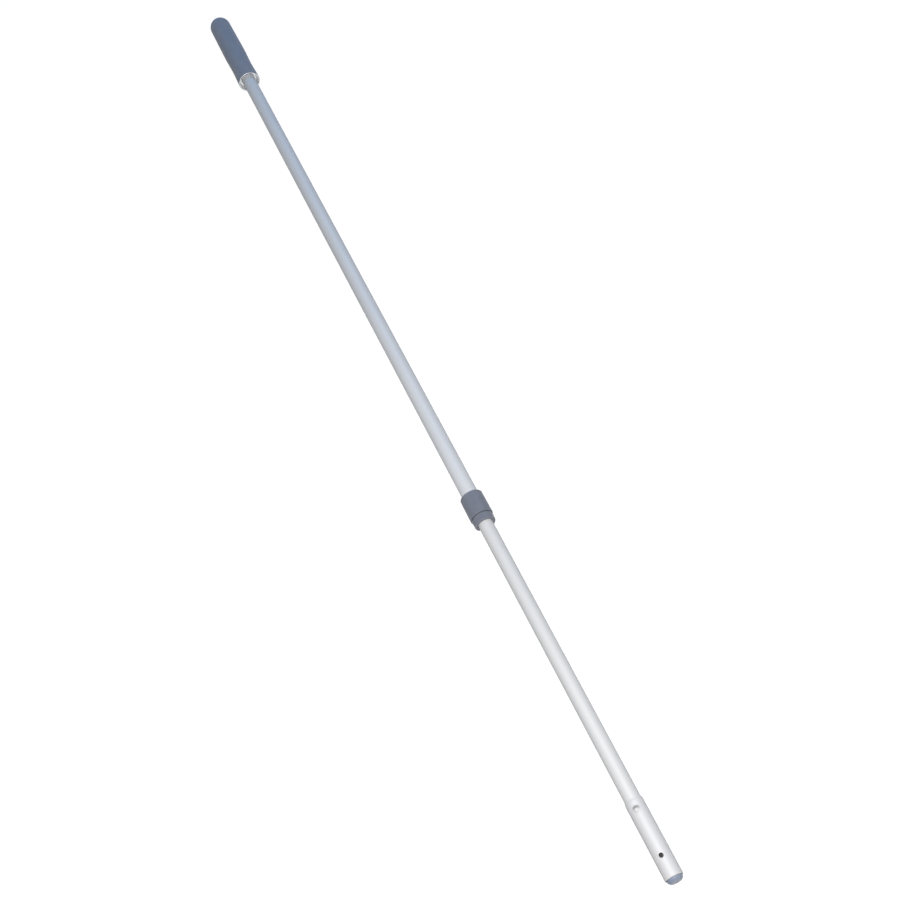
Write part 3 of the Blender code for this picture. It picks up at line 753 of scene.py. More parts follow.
@dataclass(frozen=True)
class PiercedTube:
    """A tube along the pole with round holes in its wall.

    Attributes:
        outline: Its stations and radii.
        holes: The holes.
        sides: Points in a ring.
        reach: Half the width of the window round a hole, in cells.
    """

    outline: Array
    holes: tuple[Hole, ...]
    sides: int = 160
    reach: int = 9

    def _split(self, stations: Iterable[float]) -> Array:
        """The outline, with points added where its long runs cross the given stations."""
        rows: list[Array] = []
        wanted = np.array(sorted(stations))
        for here, after in zip(self.outline, np.roll(self.outline, -1, axis=0)):
            rows.append(here[None])
            low, high = sorted((here[0], after[0]))
            inside = wanted[(wanted > low + 1e-7) & (wanted < high - 1e-7)]
            if not len(inside):
                continue
            if after[0] < here[0]:
                inside = inside[::-1]
            share = ((inside - here[0]) / (after[0] - here[0]))[:, None]
            rows.append(here + share * (after - here))
        return np.vstack(rows)

    def build(self, line: Line) -> tuple[Array, list[Array]]:
        """Work out the tube's surface.

        The tube is a turned grid. Round each hole a square window of cells is left out of the outer and the
        inner skin, and each window is filled by rings of points that pass from its border to the hole's
        circle in plan, and that lie on the skin's cylinder. The rim's rings follow a quarter circle
        downwards, and the last rings of the two skins are joined by the hole's wall.

        Args:
            line: The pole's axis.

        Returns:
            The points, and arrays of quads.
        """
        cell = 2 * math.pi / self.sides * float(self.outline[:, 1].max())
        steps = np.arange(-self.reach, self.reach + 1)
        stations = {hole: hole.station + steps * cell for hole in self.holes}
        outline = self._split(np.concatenate(list(stations.values())))
        points, faces = turned_surface(outline, line, self.sides)
        keep = np.ones(len(faces), bool)
        middle = (outline[:, 1].max() + outline[:, 1].min()) / 2
        extra: list[Array] = []
        quads: list[Array] = []
        count = len(points)
        for hole in self.holes:
            centre = 0 if hole.side > 0 else self.sides // 2
            columns = (centre + steps) % self.sides
            last_rings: list[Array] = []
            for outer in (True, False):
                skin = np.where((outline[:, 1] > middle) == outer)[0]
                order = np.argsort(outline[skin, 0])
                skin = skin[order]
                first = int(np.argmin(abs(outline[skin, 0] - stations[hole][0])))
                rows = skin[first : first + len(steps)]
                grid = rows[:, None] * self.sides + columns[None, :]
                cells = np.minimum(rows[:-1], rows[1:])[:, None] * self.sides
                keep[(cells + columns[None, :-1]).reshape(-1)] = False
                border = np.concatenate([grid[0, :-1], grid[:-1, -1], grid[-1, :0:-1], grid[:0:-1, 0]])
                rings = self._rings(hole, points[border], line, outer)
                numbers = count + np.arange(rings.shape[0] * rings.shape[1]).reshape(rings.shape[:2])
                count += numbers.size
                extra.append(rings.reshape(-1, 3))
                chain = np.vstack([border[None], numbers])
                quads.append(self._bands(chain))
                last_rings.append(chain[-1])
            quads.append(self._bands(np.stack(last_rings)))
        return np.vstack([points, *extra]), [faces[keep], *quads]

    @staticmethod
    def _bands(chain: Array) -> Array:
        """Quads between each ring of point numbers and the next."""
        above, below = chain[:-1], chain[1:]
        quad = [above, np.roll(above, -1, axis=1), np.roll(below, -1, axis=1), below]
        return np.stack(quad, axis=-1).reshape(-1, 4)

    @staticmethod
    def _rings(hole: Hole, border: Array, line: Line, outer: bool) -> Array:
        """The rings of points from a window's border to a hole's edge, with the rim's on the outer skin."""
        plan = border[:, :2] - (hole.station, line.origin[1])
        skin = np.hypot(plan[:, 1], border[:, 2] - line.origin[2]).mean()
        turn = np.arctan2(plan[:, 1], plan[:, 0])
        ring = np.stack([np.cos(turn), np.sin(turn)], axis=1)
        rim = hole.rim if outer else 0.0
        # From the border to the rim's start, in even steps.
        shares = np.linspace(0, 1, 7)[1:, None, None]
        flat = plan + shares * (ring * (hole.radius + rim) - plan)
        drop = np.zeros(len(flat))
        if outer:
            bend = np.linspace(0, math.pi / 2, 7)[1:]
            radii = hole.radius + rim * (1 - np.sin(bend))
            flat = np.concatenate([flat, radii[:, None, None] * ring])
            drop = np.concatenate([drop, rim * (1 - np.cos(bend))])
        height = hole.side * (np.sqrt(skin**2 - flat[..., 1] ** 2) - drop[:, None])
        level = height[..., None] + line.origin[2]
        return np.concatenate([flat + (hole.station, line.origin[1]), level], axis=-1)


def threaded_surface(
    line: Line, length: float, root: float, crest: float, pitch: float, chamfer: float
) -> tuple[Array, Array]:
    """A rod with one helical thread.

    The radius at a station and an angle is the root's, plus the thread's height times a flat-topped wave of
    the station over the pitch less the angle over a full turn. The wave is a cosine, raised and cut off at 0
    and 1. At each end the radius stays below a cone, which is the chamfer.

    Args:
        line: The rod's axis, from one end.
        length: The rod's length.
        root: Radius at the bottom of the thread.
        crest: Radius at its top.
        pitch: How far one turn of the thread advances.
        chamfer: Length of the cone at each end.

    Returns:
        The points and the quads.
    """
    sides, rows = 48, int(length / pitch * 14)
    angle = np.arange(sides)[None, :] * 2 * math.pi / sides
    station = np.linspace(0, length, rows)[:, None]
    wave = np.clip(0.5 + 0.9 * np.cos(2 * math.pi * (station / pitch) - angle), 0, 1)
    radius = root + (crest - root) * wave
    near_end = np.minimum(station, length - station)
    radius = np.minimum(radius, root - chamfer * 0.6 + near_end)
    station = station + 0 * angle
    cap = np.zeros((1, sides))
    station = np.vstack([cap, station, cap + length])
    radius = np.vstack([cap, radius, cap])
    points = line.place(station, radius, angle + 0 * station)
    return points.reshape(-1, 3), grid_faces(rows + 2, sides, False)


def nut_surface(line: Line, thickness: float, flats: float, bore: float) -> tuple[Array, Array]:
    """A hexagon nut with turned chamfers.

    Its outside is the nearer of a hexagon and a cone at each end. The hexagon's radius is half the flats over
    the cosine of the angle from the middle of the nearest flat. The cone's grows with the distance to the
    end, from a little under the corners' radius.

    Args:
        line: The nut's axis, from one face.
        thickness: Its length.
        flats: The distance across its flats.
        bore: The radius of its bore.

    Returns:
        The points and the quads.
    """
    sides = 96
    angle = np.arange(sides)[None, :] * 2 * math.pi / sides
    sixth = math.pi / 3
    hexagon = flats / 2 / np.cos(np.mod(angle, sixth) - sixth / 2)
    corner = flats / 2 / math.cos(sixth / 2)
    station = np.concatenate([np.linspace(0, 0.16, 7), np.linspace(0.2, 0.8, 5), np.linspace(0.84, 1, 7)])
    station = (station * thickness)[:, None]
    near_end = np.minimum(station, thickness - station)
    outside = np.minimum(hexagon, corner * 0.93 + near_end * 1.7)
    outside[[0, -1]] = np.minimum(outside[[0, -1]], corner * 0.93)
    mouth = 0.0005
    inside = np.array(
        [[thickness, bore + mouth], [thickness - mouth, bore], [mouth, bore], [0.0, bore + mouth]]
    )
    station = np.vstack([station + 0 * angle, inside[:, :1] + 0 * angle])
    radius = np.vstack([outside, inside[:, 1:] + 0 * angle])
    points = line.place(station, radius, angle + 0 * station)
    return points.reshape(-1, 3), grid_faces(len(station), sides, True)


# --------------------------------------------------------------------------------------------------
# The workshop: where pieces become objects
# --------------------------------------------------------------------------------------------------


class Workshop:
    """Turns surfaces into objects that ride on the frame, and dresses the solids that stay."""

    def __init__(self, nodes: dict[str, bpy.types.Object]) -> None:
        """Read where the pole's axis lies.

        Args:
            nodes: The solids by name.
        """
        self.nodes = nodes
        self.materials: dict[str, bpy.types.Material] = {}
        low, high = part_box("outer_tube")
        self.axis_z = (low.z + high.z) / 2
        self.flat = math.cos(math.pi / SOLID_SIDES)

    def span(self, node: str) -> tuple[float, float]:
        """The first and last station of a solid."""
        low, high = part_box(node)
        return low.x, high.x

    def radius(self, node: str) -> float:
        """The largest radius of a turned solid."""
        low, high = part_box(node)
        return (high.z - low.z) / 2 / self.flat

    def axis(self, station: float = 0.0) -> Line:
        """The pole's axis, with stations counted from one."""
        return Line(
            np.array([station, 0.0, self.axis_z]),
            np.array([1.0, 0, 0]),
            np.array([0, 1.0, 0]),
            np.array([0, 0, 1.0]),
        )

    def upright(self, station: float, side: int) -> Line:
        """A line out of the pole at a station.

        Args:
            station: Where it crosses the pole's axis.
            side: 1 to point up, -1 to point down.

        Returns:
            The line.
        """
        return Line(
            np.array([station, 0.0, self.axis_z]),
            np.array([0, 0, float(side)]),
            np.array([0, 1.0, 0]),
            np.array([1.0, 0, 0]),
        )

    def material(self, finish: Finish) -> bpy.types.Material:
        """The material of a finish, made once."""
        if finish.name not in self.materials:
            self.materials[finish.name] = finish.build()
        return self.materials[finish.name]

    def piece(
        self,
        name: str,
        surface: tuple[Array, Array | list[Array]],
        finish: Finish,
        slot: Slot,
        body: Body,
        sharp: float = 40.0,
    ) -> None:
        """Make a finished piece that stands for the solid of the same name.

        Args:
            name: The solid that it replaces. The piece is named after it.
            surface: Points, and quads in one array or several.
            finish: Its finish.
            slot: The record's slot for that finish. It is not used.
            body: The body that it rides on.
            sharp: The angle in degrees from which an edge between faces shows.
        """
        points, faces = surface
        quads = np.vstack(faces) if isinstance(faces, list) else faces
        mesh = bpy.data.meshes.new(f"{name}_fine")
        mesh.from_pydata(points.tolist(), [], quads.tolist())
        shape = bmesh.new()
        shape.from_mesh(mesh)
        bmesh.ops.remove_doubles(shape, verts=shape.verts, dist=1e-7)
        bmesh.ops.delete(shape, geom=[v for v in shape.verts if not v.link_faces], context="VERTS")
        bmesh.ops.recalc_face_normals(shape, faces=shape.faces)
        if shape.calc_volume(signed=True) < 0:
            bmesh.ops.reverse_faces(shape, faces=shape.faces)
        shape.to_mesh(mesh)
        shape.free()
        mesh.shade_smooth()
        mesh.set_sharp_from_angle(angle=math.radians(sharp))
        mesh.materials.append(self.material(finish))
        made = bpy.data.objects.new(f"{name}_fine", mesh)
        bpy.context.scene.collection.objects.link(made)
        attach(made, body.value)
        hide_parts(name)
        LOG.info("%s: %d faces on %s", made.name, len(mesh.polygons), body.value)

    def ring(
        self, name: str, bore: float, edges: tuple[float, float], finish: Finish, slot: Slot, body: Body
    ) -> None:
        """Make a plain ring or tube that stands for the solid of the same name.

        Args:
            name: The solid that it replaces.
            bore: The radius of its bore.
            edges: The rounding of its outer edges and of its bore's.
            finish: Its finish.
            slot: The record's slot for that finish.
            body: The body that it rides on.
        """
        outline = ring_outline(self.span(name), self.radius(name), bore, *edges)
        self.piece(name, turned_surface(outline, self.axis()), finish, slot, body)

    def dress(self, node: str, finish: Finish) -> None:
        """Give a solid that stays a better finish.

        Args:
            node: The solid.
            finish: Its finish.
        """
        solid = self.nodes[node]
        material = self.material(finish)
        if not solid.material_slots:
            solid.data.materials.append(material)
        for place in solid.material_slots:
            place.material = material
        LOG.info("%s: dressed as %s", node, finish.name)


# --------------------------------------------------------------------------------------------------
# Sub-assemblies
# --------------------------------------------------------------------------------------------------


@dataclass(frozen=True)
class HandGrip:
    """The rubber grip, the rings that centre it and the plug in the tube's end."""

    shop: Workshop
    waist_radius: float = 0.0183
    waist_from_mouth: float = 0.042
    belly_from_mouth: float = 0.0855
    top_radius: float = 0.0187
    bore_radius: float = 0.0160
    end_wall: float = 0.0165
    lip_wall: float = 0.0010
    lip_depth: float = 0.0100
    lip_round: float = 0.00045
    lip_band: float = 0.0040
    lip_draft: float = 0.00004
    ring_depth: float = 0.0090
    cup_wall: float = 0.0008
    flange_thickness: float = 0.0008
    flange_inset: float = 0.0005
    spacer_bore: float = 0.0118
    cap_radius: float = 0.0115
    cap_thickness: float = 0.0030
    plug_radius: float = 0.0102
    plug_bore: float = 0.0082

    def outline(self) -> Array:
        """The grip's outline, from the end wall round the mouth and over the outside to the dome's pole."""
        start, mouth = self.shop.span("grip")
        widest = self.shop.radius("grip")
        lip = (mouth - self.lip_band, widest - self.lip_draft)
        waist = (mouth - self.waist_from_mouth, self.waist_radius)
        belly = (mouth - self.belly_from_mouth, widest)
        base = (start + self.top_radius, self.top_radius)
        inside: list[Corner] = [
            (start + self.end_wall, 0.0, 0.0),
            (start + self.end_wall, self.bore_radius, 0.001),
            (mouth - self.lip_depth, self.bore_radius, 0.002),
            (mouth, widest - self.lip_wall, self.lip_round),
            (mouth, widest, self.lip_round),
            (*lip, 0.0),
        ]
        turn = np.linspace(0, math.pi / 2, 33)[1:]
        dome = np.stack(
            [start + self.top_radius * (1 - np.sin(turn)), self.top_radius * np.cos(turn)],
            axis=1,
        )
        dome[-1, 1] = 0.0
        runs = [
            rounded_outline(inside, False),
            smooth_run(lip, waist, 24),
            smooth_run(waist, belly, 24),
            smooth_run(belly, base, 24),
            dome,
        ]
        return np.vstack(runs)

    def build(self) -> None:
        """Make the grip, its rings and the plug in the tube's end."""
        mouth = self.shop.span("grip")[1]
        blue, dust = (0.240, 0.270, 0.338), (0.330, 0.362, 0.420)
        skin = Rubber("grip_skin", blue, dust, 0.56, 1500, 0.00007, worn=(mouth,), shift=1.0)
        white, bright = (0.92, 0.925, 0.93), (0.96, 0.96, 0.96)
        pale = Plastic("spacer_nylon", white, bright, 0.40, 0.0004, shift=2.0, pearl=0.85)
        grey = Plastic("butt_plastic", (0.15, 0.17, 0.20), (0.28, 0.30, 0.33), 0.5, 0.0004, shift=3.0)
        axis = self.shop.axis()
        self.shop.piece("grip", turned_surface(self.outline(), axis), skin, Slot.GRIP_RUBBER, Body.OUTER)
        for name in ("grip_spacer_rear", "grip_spacer_middle"):
            edges = (0.0006, 0.0004)
            self.shop.ring(name, self.spacer_bore, edges, pale, Slot.PALE_PLASTIC, Body.OUTER)
        low, high = self.shop.span("grip_spacer_front")
        radius = self.shop.radius("grip_spacer_front")
        seat, face = high - self.flange_thickness, mouth - self.ring_depth
        wide = self.shop.radius("grip") - self.lip_wall
        cup, floor = wide - self.cup_wall, self.bore_radius - self.cup_wall
        corners = [
            (low, self.bore_radius - FIT, 0.0005),
            (mouth - self.lip_depth, self.bore_radius - FIT, 0.002),
            (seat, wide - FIT, 0.0001),
            (seat, radius - self.flange_inset, 0.0002),
            (high, radius - self.flange_inset, 0.0004),
            (high, cup, 0.0006),
            (face, floor, 0.0010),
            (face, self.spacer_bore, 0.0003),
            (low, self.spacer_bore, 0.0003),
        ]
        ring = turned_surface(rounded_outline(corners, True), axis)
        self.shop.piece("grip_spacer_front", ring, pale, Slot.PALE_PLASTIC, Body.OUTER)
        low, high = self.shop.span("butt_plug")
        cap = low + self.cap_thickness
        corners = [
            (cap, 0.0, 0.0),
            (cap, self.plug_bore, 0.0008),
            (high, self.plug_bore, 0.0003),
            (high, self.plug_radius, 0.0008),
            (cap, self.plug_radius, 0.0002),
            (cap, self.cap_radius, 0.0004),
            (low, self.cap_radius, 0.0005),
            (low, 0.0, 0.0),
        ]
        plug = turned_surface(rounded_outline(corners, False), axis)
        self.shop.piece("butt_plug", plug, grey, Slot.GREY_PLASTIC, Body.OUTER)


@dataclass(frozen=True)
class UpperTube:
    """The outer tube."""

    shop: Workshop
    wall: float = 0.0010
    edge: float = 0.0002

    def build(self) -> None:
        """Make the tube."""
        skin = Anodised("upper_anodised", (0.705, 0.72, 0.745), (0.665, 0.68, 0.705), 0.50, 0.12, 0.45)
        bore = self.shop.radius("outer_tube") - self.wall
        self.shop.ring("outer_tube", bore, (self.edge, self.edge), skin, Slot.BLUE_ANODISED, Body.OUTER)


@dataclass(frozen=True)
class Collar:
    """The collar with the bush and the wiper under it."""

    shop: Workshop
    top_radius: float = 0.0158
    top_edge: float = 0.0014
    seat_bore: float = 0.0118
    seat_depth: float = 0.0225
    lower_bore: float = 0.0131
    bush_bore: float = 0.01015
    neck_radius: float = 0.0135
    neck_length: float = 0.0016
    flange_low_radius: float = 0.0145
    end_round: float = 0.0008
    bush_mouth: float = 0.0008
    wiper_bore: float = 0.0102
    rubbed_from_collar: float = 0.0018

    def _collar(self) -> Array:
        """The collar's outline: a rounded top edge, a body with a little draft, and its counterbore."""
        low, high = self.shop.span("collar")
        corners: list[Corner] = [
            (low, self.top_radius, self.top_edge),
            (high, self.shop.radius("collar"), 0.0006),
            (high, self.lower_bore, 0.0003),
            (low + self.seat_depth, self.lower_bore, 0.0003),
            (low + self.seat_depth, self.seat_bore, 0.0003),
            (low, self.seat_bore, 0.0002),
        ]
        return rounded_outline(corners, True, 10)

    def _bush(self) -> Array:
        """The bush's outline: its tapered flange, the neck that shows as a groove, and its spigot."""
        low, high = self.shop.span("guide_bush")
        flange = self.shop.span("collar")[1] + FIT
        widest = self.shop.radius("guide_bush")
        corners: list[Corner] = [
            (low, self.lower_bore - FIT, 0.0003),
            (flange, self.lower_bore - FIT, 0.0001),
            (flange, self.neck_radius, 0.0002),
            (flange + self.neck_length, self.neck_radius, 0.0002),
            (flange + self.neck_length, widest, 0.0004),
            (high, self.flange_low_radius, self.end_round),
            (high, self.bush_bore + self.bush_mouth, 0.0003),
            (high - self.bush_mouth, self.bush_bore, 0.0006),
            (low, self.bush_bore, 0.0004),
        ]
        return rounded_outline(corners, True)

    def build(self) -> None:
        """Make the three pieces."""
        low, high = self.shop.span("collar")
        bush_high = self.shop.span("guide_bush")[1]
        slate, pale = (0.163, 0.179, 0.226), (0.275, 0.295, 0.345)
        plastic = Plastic("collar_plastic", slate, pale, 0.44, 0.00035, worn=(low, high), shift=5.0)
        worn = (high + self.rubbed_from_collar, bush_high)
        lower = Plastic("bush_plastic", (0.155, 0.171, 0.214), pale, 0.42, 0.00035, worn=worn, shift=6.0)
        rubber = Rubber("wiper_rubber", (0.03, 0.03, 0.03), (0.09, 0.09, 0.09), 0.7, 2500, 0.00003)
        axis = self.shop.axis()
        collar, bush = turned_surface(self._collar(), axis), turned_surface(self._bush(), axis)
        self.shop.piece("collar", collar, plastic, Slot.GREY_PLASTIC, Body.OUTER)
        self.shop.piece("guide_bush", bush, lower, Slot.GREY_PLASTIC, Body.OUTER)
        edges = (0.0005, 0.0008)
        self.shop.ring("wiper_ring", self.wiper_bore, edges, rubber, Slot.BLACK_RUBBER, Body.OUTER)


@dataclass(frozen=True)
class TwistLock:
    """The lock inside the outer tube: split sleeve, cone, stud and plug."""

    shop: Workshop
    thread_depth: float = 0.0007
    pitch: float = 0.0040
    stud_bore: float = 0.0042
    stud_chamfer: float = 0.0008
    drag_bore: float = 0.00965

    def build(self) -> None:
        """Make the stud, its nut and the rings, and dress the rest."""
        ivory, pale = (0.79, 0.78, 0.71), (0.88, 0.87, 0.82)
        nylon = Plastic("lock_nylon", ivory, pale, 0.46, 0.0005, shift=8.0, glow=0.08)
        grey = Plastic("plug_grey", (0.17, 0.19, 0.22), (0.30, 0.32, 0.35), 0.48, 0.0004, shift=9.0)
        black, dust = (0.03, 0.03, 0.03), (0.09, 0.09, 0.09)
        rubber = Rubber("drag_rubber", black, dust, 0.7, 2500, 0.00003, shift=4.0)
        zinc = Steel("zinc_plate", (0.66, 0.67, 0.67), (0.54, 0.56, 0.55), 0.32)
        for node in ("lock_sleeve", "lock_cone"):
            self.shop.dress(node, nylon)
        self.shop.dress("lock_plug", grey)
        self.shop.dress("plug_pin", zinc)
        low, high = self.shop.span("lock_stud")
        crest = self.shop.radius("lock_stud")
        root = crest - self.thread_depth
        stud = threaded_surface(
            self.shop.axis(low), high - low, root, crest, self.pitch, self.stud_chamfer
        )
        self.shop.piece("lock_stud", stud, zinc, Slot.ZINC_STEEL, Body.INNER, 50)
        low, high = self.shop.span("stud_nut")
        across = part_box("stud_nut")
        flats = min(across[1].y - across[0].y, across[1].z - across[0].z)
        nut = nut_surface(self.shop.axis(low), high - low, flats, self.stud_bore)
        self.shop.piece("stud_nut", nut, zinc, Slot.ZINC_STEEL, Body.INNER, 30)
        low, high = self.shop.span("stud_washer")
        radius = self.shop.radius("stud_washer")
        corners = [
            (low, radius, 0.0004),
            (high, radius, 0.0002),
            (high, self.stud_bore, 0.0002),
            (low, self.stud_bore, 0.0002),
        ]
        washer = turned_surface(rounded_outline(corners, True), self.shop.axis())
        self.shop.piece("stud_washer", washer, zinc, Slot.ZINC_STEEL, Body.INNER)
        edges = (0.0004, 0.0003)
        self.shop.ring("drag_ring", self.drag_bore, edges, rubber, Slot.BLACK_RUBBER, Body.SLEEVE)


@dataclass(frozen=True)
class LowerTube:
    """The inner tube, with its rivet holes.

    The holes for the lock's cross pin aren't cut. They would be hidden at every reach, by the outer tube or,
    when the pole is fully out, by the guide bush.
    """

    shop: Workshop
    wall: float = 0.0010
    edge: float = 0.0002
    rivet_hole: float = 0.0018
    hole_rim: float = 0.0001

    def build(self, rivet_station: float) -> None:
        """Make the tube.

        Args:
            rivet_station: Where the tip's rivets pass through it.
        """
        radius = self.shop.radius("inner_tube")
        outline = ring_outline(
            self.shop.span("inner_tube"), radius, radius - self.wall, self.edge, self.edge
        )
        holes = tuple(Hole(rivet_station, self.rivet_hole, self.hole_rim, side) for side in (1, -1))
        tube = PiercedTube(outline, holes, reach=6)
        bright, deep = (0.71, 0.715, 0.72), (0.675, 0.68, 0.69)
        skin = Anodised("lower_anodised", bright, deep, 0.48, 0.12, 0.45, shift=12.0, shine=0.2)
        self.shop.piece("inner_tube", tube.build(self.shop.axis()), skin, Slot.BRIGHT_ANODISED, Body.INNER)


@dataclass(frozen=True)
class ToolSpigot:
    """The tip: the sleeve that tools slide over, its rivets and its end plug."""

    shop: Workshop
    wall_radius: float = 0.0103
    taper: float = 0.0034
    taper_edge: float = 0.0003
    roll: float = 0.0010
    lip_bore: float = 0.0097
    hole_from_end: float = 0.0247
    hole_radius: float = 0.00275
    hole_rim: float = 0.00022
    rivet_hole: float = 0.0018
    rivet_hole_rim: float = 0.0002
    head_radius: float = 0.0030
    head_height: float = 0.0013
    head_rim: float = 0.0003
    shank_radius: float = 0.0016
    tail_radius: float = 0.0024
    tail_length: float = 0.0012
    plug_chamfer: float = 0.0026
    plug_wall: float = 0.0018
    dimple_depth: float = 0.0004
    bore_shade: float = 0.0005  # how far below its skin the sleeve starts to darken

    def rivet_station(self) -> float:
        """Where the rivets sit."""
        low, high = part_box("tip_rivet_upper")
        return (low.x + high.x) / 2

    def _sleeve(self, metal: Anodised) -> None:
        """Make the sleeve: a tapered start, a rolled end, the button's hole and two rivet holes."""
        low, high = self.shop.span("tip_sleeve")
        radius = self.shop.radius("tip_sleeve")
        corners: list[Corner] = [
            (low, self.wall_radius, 0.0001),
            (low, self.wall_radius + self.taper_edge, 0.0001),
            (low + self.taper, radius, 0.0010),
            (high - self.roll, radius, 0.0007),
            (high, radius - 0.0008, 0.0002),
            (high, self.lip_bore, 0.0001),
            (high - self.roll, self.lip_bore, 0.0001),
            (high - self.roll, self.wall_radius, 0.0001),
        ]
        holes = (
            Hole(high - self.hole_from_end, self.hole_radius, self.hole_rim, 1),
            Hole(self.rivet_station(), self.rivet_hole, self.rivet_hole_rim, 1),
            Hole(self.rivet_station(), self.rivet_hole, self.rivet_hole_rim, -1),
        )
        tube = PiercedTube(rounded_outline(corners, True), holes)
        self.shop.piece("tip_sleeve", tube.build(self.shop.axis()), metal, Slot.SPIGOT_METAL, Body.INNER)

    def _rivets(self, metal: Anodised) -> None:
        """Make the rivets, each with a domed head that has the mark of its pulled pin."""
        turn = np.linspace(0, math.pi / 2, 15)[4:]
        for name, side in (("tip_rivet_upper", 1), ("tip_rivet_lower", -1)):
            low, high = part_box(name)
            heights = abs(high.z - self.shop.axis_z), abs(low.z - self.shop.axis_z)
            top, bottom = max(heights), min(heights)
            seat = top - self.head_height
            rise = top - seat - self.head_rim
            dome = np.stack(
                [seat + self.head_rim + rise * np.cos(turn), self.head_radius * np.sin(turn)], axis=1
            )
            crown = dome[0, 0]
            mark = np.array([[crown - 0.00045, 0.0], [crown - 0.0004, 0.0008], [crown - 0.00005, 0.0011]])
            below = np.array(
                [
                    [seat + 0.0001, self.head_radius],
                    [seat, self.head_radius - 0.0001],
                    [seat, self.shank_radius],
                    [bottom + self.tail_length, self.shank_radius],
                    [bottom + self.tail_length, self.tail_radius],
                    [bottom, 0.0022],
                    [bottom, 0.0],
                ]
            )
            outline = np.vstack([mark, dome, below])
            surface = turned_surface(outline, self.shop.upright(self.rivet_station(), side), 64)
            self.shop.piece(name, surface, metal, Slot.SPIGOT_METAL, Body.INNER)

    def _plug(self) -> None:
        """Make the end plug."""
        low, high = self.shop.span("tip_plug")
        sleeve_end = self.shop.span("tip_sleeve")[1]
        head = self.lip_bore - FIT
        spigot = self.wall_radius - FIT
        step = sleeve_end - self.roll - FIT
        dimple = high - self.dimple_depth
        corners: list[Corner] = [
            (dimple, 0.0, 0.0),
            (dimple, 0.0014, 0.0002),
            (high, 0.0018, 0.0003),
            (high, head - self.plug_chamfer, 0.0016),
            (high - self.plug_chamfer, head, 0.0016),
            (step, head, 0.0001),
            (step, spigot, 0.0002),
            (low, spigot, 0.0005),
            (low, spigot - self.plug_wall, 0.0003),
            (step - self.plug_wall, spigot - self.plug_wall, 0.0008),
            (step - self.plug_wall, 0.0, 0.0),
        ]
        blue, pale = (0.235, 0.272, 0.375), (0.37, 0.41, 0.50)
        plastic = Plastic("tip_plastic", blue, pale, 0.40, 0.0003, worn=(dimple,), shift=14.0)
        plug = turned_surface(rounded_outline(corners, False), self.shop.axis())
        self.shop.piece("tip_plug", plug, plastic, Slot.PLUG_PLASTIC, Body.INNER)

    def build(self) -> None:
        """Make the tip."""
        low, high = self.shop.span("tip_sleeve")
        metal = Anodised(
            "spigot_satin",
            (0.685, 0.685, 0.70),
            (0.65, 0.65, 0.67),
            0.54,
            0.12,
            0.45,
            worn=(low, high),
            shift=20.0,
            riveted=self.rivet_station(),
            bore=(self.shop.axis_z, self.shop.radius("tip_sleeve") - self.bore_shade),
            shine=0.2,
        )
        self._sleeve(metal)
        self._rivets(metal)
        self._plug()


# --------------------------------------------------------------------------------------------------
# The studio
# --------------------------------------------------------------------------------------------------


@dataclass(frozen=True)
class SoftBox:
    """A rectangular lamp, aimed at a point."""

    name: str
    place: tuple[float, float, float]
    target: tuple[float, float, float]
    size: tuple[float, float]
    power: float
    colour: Colour

    def build(self) -> None:
        """Hang the lamp."""
        lamp = bpy.data.lights.new(self.name, "AREA")
        lamp.shape = "RECTANGLE"
        lamp.size, lamp.size_y = self.size
        lamp.energy = self.power
        lamp.color = self.colour
        made = bpy.data.objects.new(self.name, lamp)
        aim = Vector(self.target) - Vector(self.place)
        turn = aim.to_track_quat("-Z", "Y").to_matrix().to_4x4()
        made.matrix_world = Matrix.Translation(self.place) @ turn
        bpy.context.scene.collection.objects.link(made)


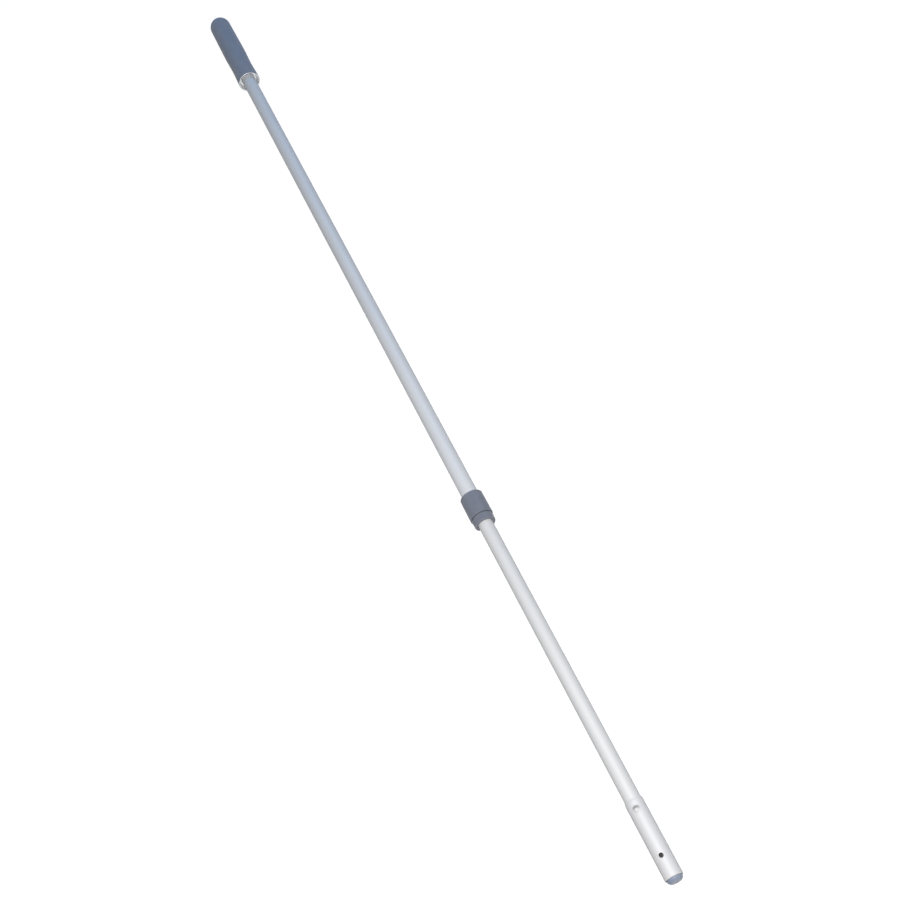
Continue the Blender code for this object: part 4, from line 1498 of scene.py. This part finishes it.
@dataclass(frozen=True)
class Studio:
    """A plain pale floor, soft lamps and the camera."""

    shop: Workshop
    sight_from_tip: float = 0.6163  # from the pole's end face to the point on the axis that is sighted
    depth: float = 1.5874  # of that point in the camera's view
    side: float = -0.00132  # and how far right and up of the view's middle it lies
    rise: float = -0.00760
    tilt: float = math.radians(33.0)  # of the pole out of the picture's plane, its tip towards the camera
    lean: float = math.radians(61.80)  # of the pole in the picture, from the right downwards
    roll: float = math.radians(6.0)  # of the pole about its axis, to the left of facing the camera
    lens: float = 46.72
    sensor: float = 36.0
    floor_half: float = 15.0  # half the floor's width
    floor_glow: float = 0.92
    near_floor: float = 1.6  # how far from the middle the floor starts to turn into the white room
    far_floor: float = 4.0
    floor_colour: Colour = (0.30, 0.30, 0.30)
    floor_mottle: float = 1.02  # how much lighter its pale patches are
    world_light: float = 0.12
    world_colour: Colour = (0.93, 0.96, 1.0)

    def camera(self) -> None:
        """Set the camera from how the pole lies in its view.

        The view's axes run right, up and towards the viewer.
        """
        level = math.cos(self.tilt)
        pole = Vector((level * math.cos(self.lean), -level * math.sin(self.lean), math.sin(self.tilt)))
        sighted = Vector((self.side, self.rise, -self.depth))
        facing = (pole * sighted.dot(pole) - sighted).normalized()
        across = facing.cross(pole)
        up = facing * math.cos(self.roll) - across * math.sin(self.roll)
        turn = Matrix((pole, up.cross(pole), up))
        tip = self.shop.span("tip_plug")[1]
        place = Vector((tip - self.sight_from_tip, 0.0, self.shop.axis_z)) - turn @ sighted
        lens = bpy.data.cameras.new("camera")
        lens.lens = self.lens
        lens.sensor_width = self.sensor
        lens.clip_start = 0.01
        made = bpy.data.objects.new("camera", lens)
        made.matrix_world = Matrix.Translation(place) @ turn.to_4x4()
        bpy.context.scene.collection.objects.link(made)
        bpy.context.scene.camera = made

    def floor(self) -> None:
        """Lay the floor level with the grip's lowest line.

        It is pale and matt. To the camera and in reflections it glows nearly white, apart from the pole's
        shadow, and turns into the white room with the distance from its middle.
        """
        mesh = bpy.data.meshes.new("floor")
        half = self.floor_half
        low = self.shop.axis_z - self.shop.radius("grip")
        corners = [(-half, -half, low), (half, -half, low), (half, half, low), (-half, half, low)]
        mesh.from_pydata(corners, [], [(0, 1, 2, 3)])
        s = Shader(bpy.data.materials.new("floor_paper"))
        mottle = s.noise((3, 3, 3), 3)
        light = tuple(share * self.floor_mottle for share in self.floor_colour)
        pale = s.tint(mottle, self.floor_colour, light)
        matt = s.node("ShaderNodeBsdfDiffuse", {}, {"Color": pale})
        glow = s.node("ShaderNodeEmission", {}, {"Color": WHITE, "Strength": self.floor_glow})
        bright = s.node("ShaderNodeAddShader", {}, {0: matt, 1: glow})
        white = s.node("ShaderNodeEmission", {}, {"Color": WHITE, "Strength": 1.0})
        ahead, beside = s.station(), s.beside()
        far = (ahead * ahead + beside * beside).band(self.near_floor**2, self.far_floor**2)
        shown = s.node("ShaderNodeMixShader", {}, {0: far, 1: bright, 2: white})
        paper = s.node("ShaderNodeMixShader", {}, {0: self._seen(s), 1: matt, 2: shown})
        s.output("ShaderNodeOutputMaterial", paper)
        mesh.materials.append(s.owner)
        made = bpy.data.objects.new("floor", mesh)
        bpy.context.scene.collection.objects.link(made)

    @staticmethod
    def _seen(shader: Shader) -> Value:
        """1 for rays from the camera, and for those that reach it by reflection or through glass."""
        sorts = [
            shader.node("ShaderNodeLightPath", {}, {}, name)
            for name in ("Is Camera Ray", "Is Glossy Ray", "Is Transmission Ray")
        ]
        return sorts[0].larger(sorts[1]).larger(sorts[2])

    def world(self) -> None:
        """Fill the room: white where it is looked at or mirrored, and a cool, weak light otherwise."""
        s = Shader(bpy.data.worlds.new("room"))
        light = s.node("ShaderNodeBackground", {}, {0: (*self.world_colour, 1.0), 1: self.world_light})
        white = s.node("ShaderNodeBackground", {}, {0: WHITE, 1: 1.0})
        room = s.node("ShaderNodeMixShader", {}, {0: self._seen(s), 1: light, 2: white})
        s.output("ShaderNodeOutputWorld", room)
        bpy.context.scene.world = s.owner

    def lamps(self) -> None:
        """Hang the lamps: a large one over the tip and a weak, strongly blue one over the grip."""
        boxes = (
            SoftBox("key_lamp", (1.05, 0.18, 1.70), (0.78, 0.0, 0.0), (0.9, 0.5), 33.0, (1.0, 0.99, 0.975)),
            SoftBox("cool_lamp", (-1.15, 0.70, 1.1), (-0.6, 0.0, 0.0), (0.7, 0.4), 4.6, (0.04, 0.42, 1.0)),
        )
        for box in boxes:
            box.build()

    def build(self) -> None:
        """Set up the studio."""
        bpy.context.scene.view_settings.view_transform = "Standard"
        self.floor()
        self.world()
        self.lamps()
        self.camera()


def main() -> None:
    """Build the pole's sub-assemblies in order, and the studio round them."""
    logging.basicConfig(level=logging.INFO, format="%(name)s: %(message)s")
    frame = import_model()
    shop = Workshop(frame["nodes"])
    spigot = ToolSpigot(shop)
    HandGrip(shop).build()
    UpperTube(shop).build()
    Collar(shop).build()
    TwistLock(shop).build()
    LowerTube(shop).build(spigot.rivet_station())
    spigot.build()
    Studio(shop).build()


if __name__ == "__main__":
    main()
